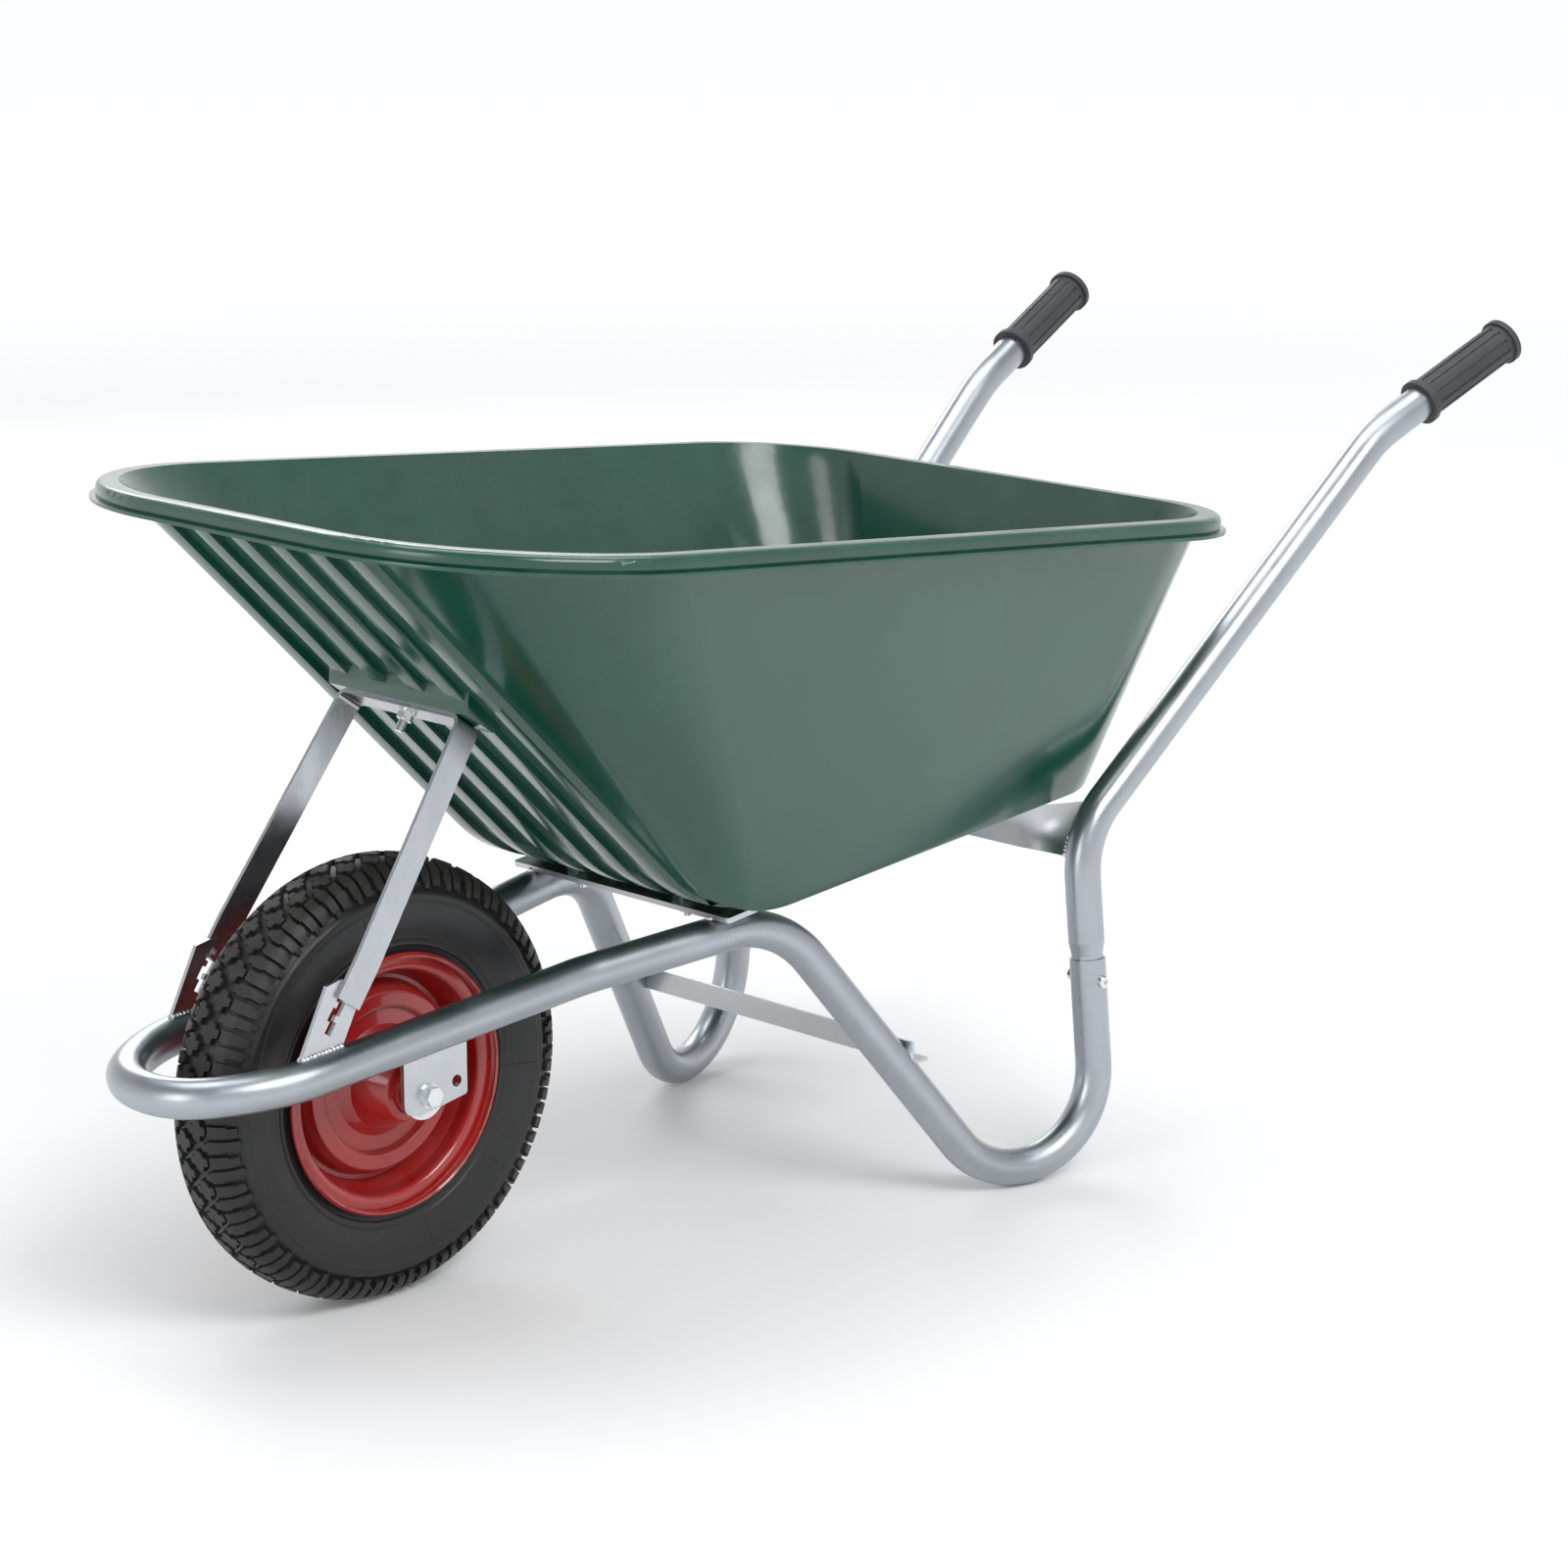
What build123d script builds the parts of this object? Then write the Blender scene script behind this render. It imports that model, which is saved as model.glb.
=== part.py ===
from build123d import *
import math
import os

# ---------------------------------------------------------------------------
# Builder's wheelbarrow. Millimetres. +X forward (wheel), +Y left, +Z up.
# Origin on the ground, under the middle of the overall length.
# x values among the sizes are counted from the wheel axle.
# ---------------------------------------------------------------------------

# overall place of the wheel
axle_x = 514.0            # axle, forward of the origin
wheel_r = 200.0           # tyre outside radius, so also the axle height

# steel tube of the frame
tube_r = 17.5
tube_wall = 2.0
insert_gap = 0.15         # handle insert in the leg socket, radial
insert_len = 62.0
neck_len = 12.0
neck_gap = 4.0            # between the socket's edge and the end of the neck

# front loop, a flat bent tube that dips towards the nose
rail_rise = 61.9          # tube centre over the axle, above the axle line
rail_slope = 0.083        # rise per millimetre towards the rear
rail_half = 90.0          # half spacing beside the wheel
nose_gap = 24.5           # between the tyre and the nose of the loop
nose_half = 37.6
shoulder_back = 25.0      # start of the nose bend, behind the front of the tyre
flare_x = -165.4
flare_half = 96.4
apex_x = -379.4
apex_half = 130.6
apex_cut = 62.0           # joint of front loop and leg tube, before the apex
shoulder_r = 140.0
nose_r = 72.0
flare_r = 150.0
apex_r = 100.0

# legs and handles
foot_x = -696.2
foot_half = 272.8
foot_drop = 181.0         # corner of the U below the lowest centre line point
foot_r = 87.3
knee_x = -700.1
knee_gap = 18.7           # between the tray floor's edge and the tube, sideways
knee_rise = 65.5          # heights called rise are above rail_z
knee_r = 90.0
socket_drop = 53.9        # top edge of the leg socket, below rail_z
screw_inset = 20.0        # joint screw, below the socket's edge
elbow_x = -1097.7
elbow_half = 260.9
elbow_rise = 407.3
elbow_r = 150.0
grip_x = -1270.0
grip_half = 286.7
grip_rise = 485.3

# grips
grip_len = 130.0
grip_wall = 2.9
grip_flange_h = 3.1
grip_flange_t = 6.0
grip_end_t = 5.0
grip_groove_w = 3.4
grip_groove_depth = 1.3
grip_groove_count = 12
grip_gap = 0.1

# tray
wall = 4.0
floor_lift = 0.457        # weld gap between front cross plate and rails
floor_slope = 0.105
floor_front_x = -290.8
floor_rear_x = -792.0
floor_front_half = 163.0
floor_rear_half = 186.0
floor_front_r = 34.0
floor_rear_r = 62.0
rim_rise = 426.8          # underside of the lip over the axle
rim_slope = 0.09
rim_front_x = 143.0
rim_rear_x = -860.0
rim_front_half = 333.0
rim_rear_half = 335.5
rim_front_r = 226.0
rim_rear_r = 141.0
rim_h = 17.0
over_front = 19.0         # lip past the wall's top edge
over_side = 20.0
over_rear = 25.0
lip_w = 5.0
lip_t = 3.0
skirt_t = 3.0
bead_t = 4.0
bead_round = 7.0
front_round = 160.0       # roll of the front wall into the floor
rear_round = 48.0
rib_h = 6.0
rib_w = 19.0
rib_pitch = 51.0
rib_count = 6
seat_h = 11.0             # pad under the strut
seat_half = 92.0
seat_len = 34.0

# flat steel
plate_t = 5.0
front_plate_x = -323.0
front_plate_w = 40.0
front_plate_half = 144.0
front_plate_corner = 4.0
rear_plate_w = 60.0
rear_plate_mid_half = 150.0
rear_web_low_x = -697.0
rear_web_low_rise = 42.1
rear_end_back = 11.4      # middle of the plate's twisted end, behind the knee
rear_end_up = 1.1
rear_end_angle = math.radians(37.08)
rear_end_sink = 6.0       # how far the end reaches round the tube
brace_z = 160.0           # top edge of the angle between the legs
brace_behind = 23.4       # its front face, behind the leg's centre line
brace_h = 22.0
brace_depth = 22.0
brace_t = 3.0
brace_half = 194.0

# strut from the lugs to the front wall
strut_w = 27.0
strut_t = 4.0
strut_top_rise = 260.7
strut_stand = 12.07       # seat of the strut, off the front wall
strut_foot_x = 96.0
strut_foot_rise = 49.1
strut_top_half = 80.0
strut_bend = 8.0
lug_t = 4.0
lug_half = 90.0           # outer face of the lug
lug_front_x = 152.0
lug_base = 43.0           # length of its foot along the tube
lug_sink = 2.0            # its foot below the tube's centre line, before trimming
lug_rise = 66.0
lug_lean = 33.6           # its front edge leans back by this much
lug_nose = 14.8
lug_crest = 3.0
slot_len = 21.0
slot_w = 7.0
slot_gap = 18.0
slot_ahead = 8.0          # upper slot from the strut's foot
slot_below = 2.0
tab_rest = 1.6            # the tab below the middle of the slot's upper half
tab_t = 4.0
tab_w = 5.4
tab_reach = 2.0           # tab past the lug's inner face
slot_overlap = 2.0        # the two halves of a zigzag slot
lug_cover = 38.0          # length of strut leg lying on the lug
joint_gap = 0.1

# axle brackets and axle
bracket_t = 5.0
bracket_half = 80.0       # outer face
bracket_front = 28.0
bracket_rear = -44.0
bracket_drop = 17.0
bracket_corner = 10.0
bracket_rear_corner = 3.0
bracket_cut_h = 6.0       # slanting lower edge of the bracket
bracket_cut_w = 16.0
bracket_rise = 9.0
bracket_sink = 4.0        # its top below the rail's centre line, before trimming
spare_hole_x = -32.0
spare_hole_dz = 6.0
bolt_r = 5.0              # axle bolt, M10
bolt_clearance = 0.4      # radial, in the bracket holes
hole_gap = 0.25
washer_r = 10.5
washer_t = 2.0
head_af = 16.0
head_h = 6.4
nut_h = 8.4
bolt_stick = 4.0
bolt_lead = 0.8
sleeve_r = 10.0           # tube round the bolt that the bearings turn on
running_gap = 0.05
collar_r = 23.0
collar_t = 3.5
collar_neck_r = 14.0
hub_gap = 0.5

# wheel
hub_half = 64.0
hub_r = 21.0
bearing_r = 17.5
bearing_len = 22.0
bearing_inset = 2.0
rim_t = 2.0
flange_r = 118.5
flange_half = 33.0
roll_r = 3.5              # rolled edge of the flange
throat_r = 6.0            # where the bead seat turns up into the flange
seat_r = 101.5
tyre_half = 40.6
tyre_wall = 6.0
groove_w = 5.0
groove_depth = 5.0
groove_y = 17.0
tube_ring_drop = 48.0     # middle of the inner tube's section, below the tread
tube_ring_half = 30.0
tube_ring_t = 2.5
valve_r = 4.1
valve_cap_len = 9.0
valve_deg = 118.0         # round the wheel from straight up; it stands on the right side
valve_drop = 17.0
valve_bend = 8.0
valve_cap_wall = 1.1
valve_cap_gap = 0.1
valve_cap_top = 2.0

# small fasteners
m8_r = 4.0
m8_head_af = 13.0
m8_head_h = 5.3
m8_nut_h = 6.5
m8_washer_r = 8.4
m8_washer_t = 1.6
m8_head_r = 8.0
strut_bolt_stick = 11.0
m6_r = 3.0
m6_head_r = 6.2
m6_head_h = 3.6
m6_head_edge = 1.2
m6_nut_af = 10.0
m6_nut_h = 5.0
m6_recess = 6.0
m6_recess_w = 1.2
m6_recess_depth = 2.0
m6_stick = 2.0            # screw end past its nut
m6_web = 0.5              # shank ends below the recess
tray_bolt_half = 70.0
tray_bolt_head_h = 4.3
tray_bolt_stick = 4.0
front_seat_h = 10.0       # moulded boss under each front bolt head
boss_r = 14.0
boss_h = 22.0
spot_r = 9.5
fit_gap = 0.25

# sizes that follow from the ones above
rail_z = wheel_r + rail_rise
nose_x = wheel_r + nose_gap + tube_r
shoulder_x = wheel_r - shoulder_back
knee_half = floor_rear_half + knee_gap + tube_r
knee_z = rail_z + knee_rise
socket_z = rail_z - socket_drop
elbow_z = rail_z + elbow_rise
grip_z = rail_z + grip_rise
grip_r = tube_r + grip_wall
grip_flange_r = grip_r + grip_flange_h
floor_z = rail_z - rail_slope * front_plate_x + tube_r + floor_lift + plate_t
rim_z = rail_z + rim_rise
strut_top_z = rail_z + strut_top_rise
strut_foot_z = rail_z + strut_foot_rise
bolt_hole_r = bolt_r + bolt_clearance
tube_ring_r = wheel_r - tube_ring_drop
seat_grip = seat_h + wall
bore_r = tube_r - tube_wall
insert_r = bore_r - insert_gap
rear_flange_w = 38.0
rear_web_top_x = -676.0
rear_flange_x = rear_web_top_x - rear_flange_w / 2
m8_hole_r = m8_r + fit_gap
m6_hole_r = m6_r + fit_gap
screw_z = socket_z - screw_inset
screw_seat = 1.5          # head and nut reach into the tube's curve before trimming
floor_normal = Vector(floor_slope, 0, 1).normalized()


def at(x, y, z):
    """Point given from the axle's x, the middle plane and the ground."""
    return Vector(axle_x + x, y, z)


def rail_point(x, y):
    return at(x, y, rail_z - rail_slope * x)


def floor_height(x):
    return floor_z - floor_slope * (x - front_plate_x)


def tray_bolt_places():
    """Bolt axes through the tray floor, on its underside."""
    spots = [(x, side) for x in (front_plate_x, rear_flange_x) for side in (1, -1)]
    return [
        Plane(
            origin=at(x, side * tray_bolt_half, floor_height(x)),
            x_dir=(0, 1, 0),
            z_dir=floor_normal,
        )
        for x, side in spots
    ]


tray_bolt_seats = [front_seat_h, front_seat_h, wall, wall]


def toward(start, end, length):
    """Point on the line from start to end, a given length along it."""
    return start + (end - start).normalized() * length


def along_x_to_z(start, end, z):
    """Point of the line from start to end at height z."""
    share = (z - start.Z) / (end.Z - start.Z)
    return start + (end - start) * share


def leg_points(side):
    apex = rail_point(apex_x, side * apex_half)
    foot = at(foot_x, side * foot_half, tube_r - foot_drop)
    knee = at(knee_x, side * knee_half, knee_z)
    return apex, foot, knee


def loop_end(side):
    apex = rail_point(apex_x, side * apex_half)
    flare = rail_point(flare_x, side * flare_half)
    return toward(apex, flare, apex_cut)


def save(part, name):
    part.label = name
    export_step(part, f"parts/{name}.step")


def bent_bar(points, radii, outer_r, inner_r=0.0):
    """Round bar or tube along straight runs joined by tangent arcs."""
    with BuildLine() as path:
        FilletPolyline(*points, radius=radii)
    wire = path.wire()
    with BuildSketch(Plane(origin=wire @ 0, z_dir=wire % 0)) as section:
        Circle(outer_r)
        if inner_r > 0:
            Circle(inner_r, mode=Mode.SUBTRACT)
    sweep(sections=section.sketch, path=wire)


def loop_route():
    half = [
        (shoulder_x, rail_half),
        (nose_x, nose_half),
        (nose_x, -nose_half),
        (shoulder_x, -rail_half),
    ]
    points = [loop_end(1), rail_point(flare_x, flare_half)]
    points += [rail_point(x, y) for x, y in half]
    points += [rail_point(flare_x, -flare_half), loop_end(-1)]
    return points, [flare_r, shoulder_r, nose_r, nose_r, shoulder_r, flare_r]


def leg_route(side):
    apex, foot, knee = leg_points(side)
    socket = along_x_to_z(foot, knee, socket_z)
    return [loop_end(side), apex, foot, socket], [apex_r, foot_r]


def handle_route(side):
    apex, foot, knee = leg_points(side)
    start = along_x_to_z(foot, knee, socket_z + neck_len + neck_gap)
    elbow = at(elbow_x, side * elbow_half, elbow_z)
    grip = at(grip_x, side * grip_half, grip_z)
    return [start, knee, elbow, grip], [knee_r, elbow_r]


os.makedirs("parts", exist_ok=True)

# ---------------------------------------------------------------- frame tubes
with BuildPart() as front_loop:
    bent_bar(*loop_route(), tube_r, bore_r)
save(front_loop.part, "front_loop")

with BuildPart() as loop_core:
    bent_bar(*loop_route(), tube_r)


def screw_place(side):
    """Plane on the leg axis at the joint screw, its normal pointing outward."""
    apex, foot, knee = leg_points(side)
    centre = along_x_to_z(foot, knee, screw_z)
    return Plane(origin=centre, x_dir=(1, 0, 0), z_dir=(0, side, 0))


leg_cores = {}
for side, hand in ((1, "left"), (-1, "right")):
    with BuildPart() as leg_tube:
        bent_bar(*leg_route(side), tube_r, bore_r)
        with BuildSketch(screw_place(side)):
            Circle(m6_hole_r)
        extrude(amount=2 * tube_r, both=True, mode=Mode.SUBTRACT)
    save(leg_tube.part, f"leg_tube_{hand}")

    with BuildPart() as leg_core:
        bent_bar(*leg_route(side), tube_r)
    leg_cores[side] = leg_core.part

    points, radii = handle_route(side)
    apex, foot, knee = leg_points(side)
    rise = (knee - foot).normalized()
    with BuildPart() as handle_tube:
        bent_bar(points, radii, tube_r, bore_r)
        with BuildSketch(Plane(origin=points[0], z_dir=rise)):
            Circle(tube_r)
        with BuildSketch(Plane(origin=points[0] - rise * neck_len, z_dir=rise)):
            Circle(insert_r)
        loft()
        with BuildSketch(Plane(origin=points[0] - rise * neck_len, z_dir=rise)):
            Circle(insert_r)
        extrude(amount=-insert_len)
        with BuildSketch(Plane(origin=points[0] + rise * 0.01, z_dir=rise)):
            Circle(insert_r - tube_wall)
        extrude(amount=-(neck_len + insert_len + 1.0), mode=Mode.SUBTRACT)
        with BuildSketch(screw_place(side)):
            Circle(m6_hole_r)
        extrude(amount=2 * tube_r, both=True, mode=Mode.SUBTRACT)
    save(handle_tube.part, f"handle_tube_{hand}")

    # rubber grip, closed at its outer end, with a flange at each end
    run = (points[-1] - points[-2]).normalized()
    outer_end = points[-1] + run * grip_end_t
    inner_end = outer_end - run * grip_len
    grip_plane = Plane(origin=inner_end, x_dir=(0, 1, 0), z_dir=run)
    with BuildPart() as grip:
        with BuildSketch(grip_plane):
            Circle(grip_r)
        extrude(amount=grip_len)
        with BuildSketch(grip_plane.offset(grip_flange_t * 2)):
            with PolarLocations(grip_r, grip_groove_count):
                Rectangle(2 * grip_groove_depth, grip_groove_w)
        extrude(amount=grip_len - grip_flange_t * 4, mode=Mode.SUBTRACT)
        for start in (0.0, grip_len - grip_flange_t):
            with BuildSketch(grip_plane.offset(start)):
                Circle(grip_flange_r)
            extrude(amount=grip_flange_t)
        with BuildSketch(grip_plane):
            Circle(tube_r + grip_gap)
        extrude(amount=grip_len - grip_end_t + grip_gap, mode=Mode.SUBTRACT)
    save(grip.part, f"grip_{hand}")

# ----------------------------------------------------------------------- tray
def tilted(z_at_axle, slope):
    """Plane across the barrow that rises by slope per millimetre forward."""
    return Plane(origin=at(0, 0, z_at_axle), x_dir=(1, 0, slope), z_dir=(-slope, 0, 1))


def rounded(slope, rear, front, rear_r, front_r):
    """Outline with its corners given as (x, half width), on a tilted plane."""
    stretch = math.hypot(1.0, slope)
    corners = [
        (front[0] * stretch, front[1]),
        (front[0] * stretch, -front[1]),
        (rear[0] * stretch, -rear[1]),
        (rear[0] * stretch, rear[1]),
    ]
    with BuildLine() as outline:
        FilletPolyline(*corners, radius=[front_r, front_r, rear_r, rear_r], close=True)
    make_face(edges=outline.edges())


def inset(corner, radius, step_x, step_y):
    return (corner[0] + step_x, corner[1] - step_y), radius - step_y


floor_front = (floor_front_x, floor_front_half)
floor_rear = (floor_rear_x, floor_rear_half)
rim_front = (rim_front_x, rim_front_half)
rim_rear = (rim_rear_x, rim_rear_half)
floor_level = floor_z + floor_slope * front_plate_x
floor_plane = tilted(floor_level, -floor_slope)
lip_plane = tilted(rim_z, rim_slope)
top_plane = lip_plane.offset(rim_h)
top_front, top_front_r = inset(rim_front, rim_front_r, -over_front, over_side)
top_rear, top_rear_r = inset(rim_rear, rim_rear_r, over_rear, over_side)

# how far each wall leans out per millimetre of height
front_top_z = rim_z + rim_h + rim_slope * top_front[0]
front_low_z = floor_height(floor_front_x)
front_lean = (top_front[0] - floor_front_x) / (front_top_z - front_low_z)
rear_top_z = rim_z + rim_h + rim_slope * top_rear[0]
rear_low_z = floor_height(floor_rear_x)
rear_lean = (floor_rear_x - top_rear[0]) / (rear_top_z - rear_low_z)
side_lean = (top_rear[1] - floor_rear_half) / (rear_top_z - rear_low_z)


def slanted_inset(lean, raised):
    """Level inset of a wall's inner face, on a plane raised by some height."""
    return wall * math.hypot(1.0, lean) - raised * lean


def wall_direction(lean):
    return Vector(lean, 0, 1).normalized()


def roll_cutter(corner, along_a, along_b, radius):
    """Profile between a sharp corner and the arc that rounds it, in XZ."""
    middle = (along_a + along_b).normalized()
    half = along_a.get_angle(along_b) * math.pi / 360
    reach = radius / math.tan(half)
    start = corner + along_a * reach
    end = corner + along_b * reach
    top = corner + middle * (radius / math.sin(half) - radius)
    out = middle * -roll_margin
    points = [start, start + out, corner + out * 2, end + out, end]
    with BuildLine() as outline:
        Polyline(*[(p.X, p.Z) for p in points])
        ThreePointArc((end.X, end.Z), (top.X, top.Z), (start.X, start.Z))
    make_face(edges=outline.edges())


roll_margin = 12.0
to_rear = Vector(-1, 0, floor_slope).normalized()
front_up = wall_direction(front_lean)
rear_up = Vector(-rear_lean, 0, 1).normalized()
across = 2 * rim_rear_half


def body_between_floor_and_rim(step):
    """Solid under the rim: step 0 is the tray's outside, 1 its cavity."""
    raised = wall * step
    low_front, low_front_r = inset(
        floor_front, floor_front_r,
        -slanted_inset(front_lean, wall) * step, slanted_inset(side_lean, wall) * step,
    )
    low_rear, low_rear_r = inset(
        floor_rear, floor_rear_r,
        slanted_inset(rear_lean, wall) * step, slanted_inset(side_lean, wall) * step,
    )
    high_front, high_front_r = inset(
        top_front, top_front_r,
        -slanted_inset(front_lean, 0) * step, slanted_inset(side_lean, 0) * step,
    )
    high_rear, high_rear_r = inset(
        top_rear, top_rear_r,
        slanted_inset(rear_lean, 0) * step, slanted_inset(side_lean, 0) * step,
    )
    with BuildSketch(floor_plane.offset(raised)) as low:
        rounded(floor_slope, low_rear, low_front, low_rear_r, low_front_r)
    with BuildSketch(top_plane) as high:
        rounded(rim_slope, high_rear, high_front, high_rear_r, high_front_r)
    loft(sections=[low.sketch, high.sketch], ruled=True)
    front_corner = at(low_front[0], 0, floor_height(low_front[0]) + raised)
    rear_corner = at(low_rear[0], 0, floor_height(low_rear[0]) + raised)
    cuts = [
        (front_corner, to_rear, front_up, front_round - raised),
        (rear_corner, -to_rear, rear_up, rear_round - raised),
    ]
    for corner, along_a, along_b, radius in cuts:
        with BuildSketch(Plane.XZ) as cut:
            roll_cutter(corner, along_a, along_b, radius)
        extrude(to_extrude=cut.sketch, amount=across, both=True, mode=Mode.SUBTRACT)


with BuildPart() as tray_outside:
    body_between_floor_and_rim(0)

with BuildPart() as tray_cavity:
    body_between_floor_and_rim(1)
    extrude(to_extrude=tray_cavity.faces().sort_by(Axis.Z)[-1], amount=roll_margin)

with BuildPart() as tray_rim:
    bead_front, bead_front_r = inset(rim_front, rim_front_r, -lip_w, lip_w)
    bead_rear, bead_rear_r = inset(rim_rear, rim_rear_r, lip_w, lip_w)
    with BuildSketch(lip_plane) as bead:
        rounded(rim_slope, bead_rear, bead_front, bead_rear_r, bead_front_r)
    extrude(amount=rim_h)
    fillet(tray_rim.faces().sort_by(Axis.Z)[-1].edges(), bead_round)
    with BuildSketch(lip_plane) as lip:
        rounded(rim_slope, rim_rear, rim_front, rim_rear_r, rim_front_r)
    extrude(amount=lip_t)
    channel = lip_w + skirt_t
    hollow_front, hollow_front_r = inset(rim_front, rim_front_r, -channel, channel)
    hollow_rear, hollow_rear_r = inset(rim_rear, rim_rear_r, channel, channel)
    with BuildSketch(lip_plane) as hollow:
        rounded(rim_slope, hollow_rear, hollow_front, hollow_rear_r, hollow_front_r)
    extrude(amount=rim_h - bead_t, mode=Mode.SUBTRACT)

# strut axis on the middle plane, and the direction across it up the wall
strut_wall_x = floor_front_x + (strut_top_z - front_low_z) * front_lean
strut_top = at(strut_wall_x, 0, strut_top_z) + Vector(strut_stand * math.hypot(1.0, front_lean), 0, 0)
strut_foot = at(strut_foot_x, 0, strut_foot_z)
strut_down = (strut_foot - strut_top).normalized()
strut_up_wall = Vector(-strut_down.Z, 0, strut_down.X)
seat_plane = Plane(origin=strut_top, x_dir=(0, 1, 0), z_dir=-strut_down)
wall_face = seat_plane.offset(seat_grip)

rib_shift = rib_h * math.hypot(1.0, front_lean) / (1.0 + front_lean * floor_slope)
rib_corner_x = floor_front_x + rib_shift
rib_corner = at(rib_corner_x, 0, floor_height(rib_corner_x))

with BuildPart() as tray:
    add(tray_outside.part)
    add(tray_rim.part)
    rib_len = (front_top_z - rim_h - rib_corner.Z) * math.hypot(1.0, front_lean) + 6.0
    rib_end = rib_corner + front_up * rib_len
    rib_floor_end = rib_corner + to_rear * (front_round + 10.0)
    deep = 2 * rib_h + wall
    with BuildSketch(Plane.XZ, mode=Mode.PRIVATE) as rib_side:
        with BuildLine():
            inward = Vector(-front_up.Z, 0, front_up.X)
            inner_corner = rib_corner + (to_rear + front_up) * (deep * 1.2)
            points = [
                rib_corner, rib_end, rib_end + inward * deep,
                inner_corner, rib_floor_end + Vector(0, 0, wall), rib_floor_end,
            ]
            Polyline(*[(p.X, p.Z) for p in points], close=True)
        make_face()
    with BuildSketch(Plane.XZ, mode=Mode.PRIVATE) as rib_roll:
        roll_cutter(rib_corner, to_rear, front_up, front_round)
    rib_face = rib_side.sketch - rib_roll.sketch
    for i in range(rib_count):
        y = (i - (rib_count - 1) / 2) * rib_pitch
        placed = rib_face.moved(Location((0, y + rib_w / 2, 0)))
        extrude(to_extrude=placed, amount=rib_w, dir=(0, -1, 0))
    with BuildSketch(Plane.XZ, mode=Mode.PRIVATE) as seat_side:
        with BuildLine():
            ramp = seat_len / 2 + seat_h
            depth = seat_h + wall + 2.0
            points = [
                strut_top + strut_up_wall * (seat_len / 2),
                strut_top + strut_up_wall * ramp - strut_down * depth,
                strut_top - strut_up_wall * ramp - strut_down * depth,
                strut_top - strut_up_wall * (seat_len / 2),
            ]
            Polyline(*[(p.X, p.Z) for p in points], close=True)
        make_face()
    extrude(to_extrude=seat_side.sketch, amount=seat_half, both=True)
    for place in tray_bolt_places()[:2]:
        with BuildSketch(place):
            Circle(boss_r)
        extrude(amount=boss_h)
    add(tray_cavity.part, mode=Mode.SUBTRACT)
    for place in [p.offset(front_seat_h) for p in tray_bolt_places()[:2]] + [wall_face]:
        with BuildSketch(place):
            Circle(spot_r)
        extrude(amount=boss_h, mode=Mode.SUBTRACT)
    for place in tray_bolt_places() + [seat_plane.offset(seat_h)]:
        with BuildSketch(place):
            Circle(m8_hole_r)
        extrude(amount=2 * seat_h, both=True, mode=Mode.SUBTRACT)
save(tray.part, "tray")

# ------------------------------------------------------------- frame steelwork
def side_polygon(points):
    """Closed outline in the XZ plane from points given as vectors."""
    with BuildLine() as outline:
        Polyline(*[(p.X, p.Z) for p in points], close=True)
    make_face(edges=outline.edges())


with BuildPart() as front_cross_plate:
    with BuildSketch(Plane(origin=at(front_plate_x, 0, floor_height(front_plate_x)),
                           x_dir=to_rear, z_dir=floor_normal)):
        RectangleRounded(front_plate_w, 2 * front_plate_half, front_plate_corner)
    extrude(amount=-plate_t)
    add(loop_core.part, mode=Mode.SUBTRACT)
    for place in tray_bolt_places()[:2]:
        with BuildSketch(place):
            Circle(m8_hole_r)
        extrude(amount=2 * plate_t, both=True, mode=Mode.SUBTRACT)
save(front_cross_plate.part, "front_cross_plate")

# solid knees, to seat the rear plate against the handle tubes
knee_cores = {}
for side in (1, -1):
    with BuildPart() as knee_core:
        bent_bar(*handle_route(side), tube_r)
    knee_cores[side] = knee_core.part

# the rear plate stands upright under the tray and twists to meet the tubes
rear_web_low = at(rear_web_low_x, 0, rail_z + rear_web_low_rise)
rear_web_top = at(rear_web_top_x, 0, floor_height(rear_web_top_x) - plate_t / 2)
rear_end_mid = at(knee_x - rear_end_back, 0, knee_z + rear_end_up)
rear_end_dir = Vector(-math.sin(rear_end_angle), 0, math.cos(rear_end_angle))
rear_twist_half = knee_half - tube_r + rear_end_sink

with BuildPart() as rear_cross_plate:
    web_up = (rear_web_top - rear_web_low).normalized()
    web_height = (rear_web_top - rear_web_low).length
    web_mid = (rear_web_top + rear_web_low) * 0.5
    stations = []
    for y, middle, up, height in (
        (-rear_twist_half, rear_end_mid, rear_end_dir, rear_plate_w),
        (-rear_plate_mid_half, web_mid, web_up, web_height),
        (rear_plate_mid_half, web_mid, web_up, web_height),
        (rear_twist_half, rear_end_mid, rear_end_dir, rear_plate_w),
    ):
        plane = Plane(origin=Vector(middle.X, y, middle.Z), x_dir=up, z_dir=(0, 1, 0))
        with BuildSketch(plane) as station:
            Rectangle(height, plate_t)
        stations.append(station.sketch)
    loft(sections=stations, ruled=True)
    flange_mid = rear_web_top_x - rear_flange_w / 2
    with BuildSketch(Plane(origin=at(flange_mid, 0, floor_height(flange_mid)),
                           x_dir=to_rear, z_dir=floor_normal)):
        Rectangle(rear_flange_w + plate_t, 2 * rear_plate_mid_half)
    extrude(amount=-plate_t)
    for side in (1, -1):
        add(knee_cores[side], mode=Mode.SUBTRACT)
    for place in tray_bolt_places()[2:]:
        with BuildSketch(place):
            Circle(m8_hole_r)
        extrude(amount=2 * plate_t, both=True, mode=Mode.SUBTRACT)
save(rear_cross_plate.part, "rear_cross_plate")

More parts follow.
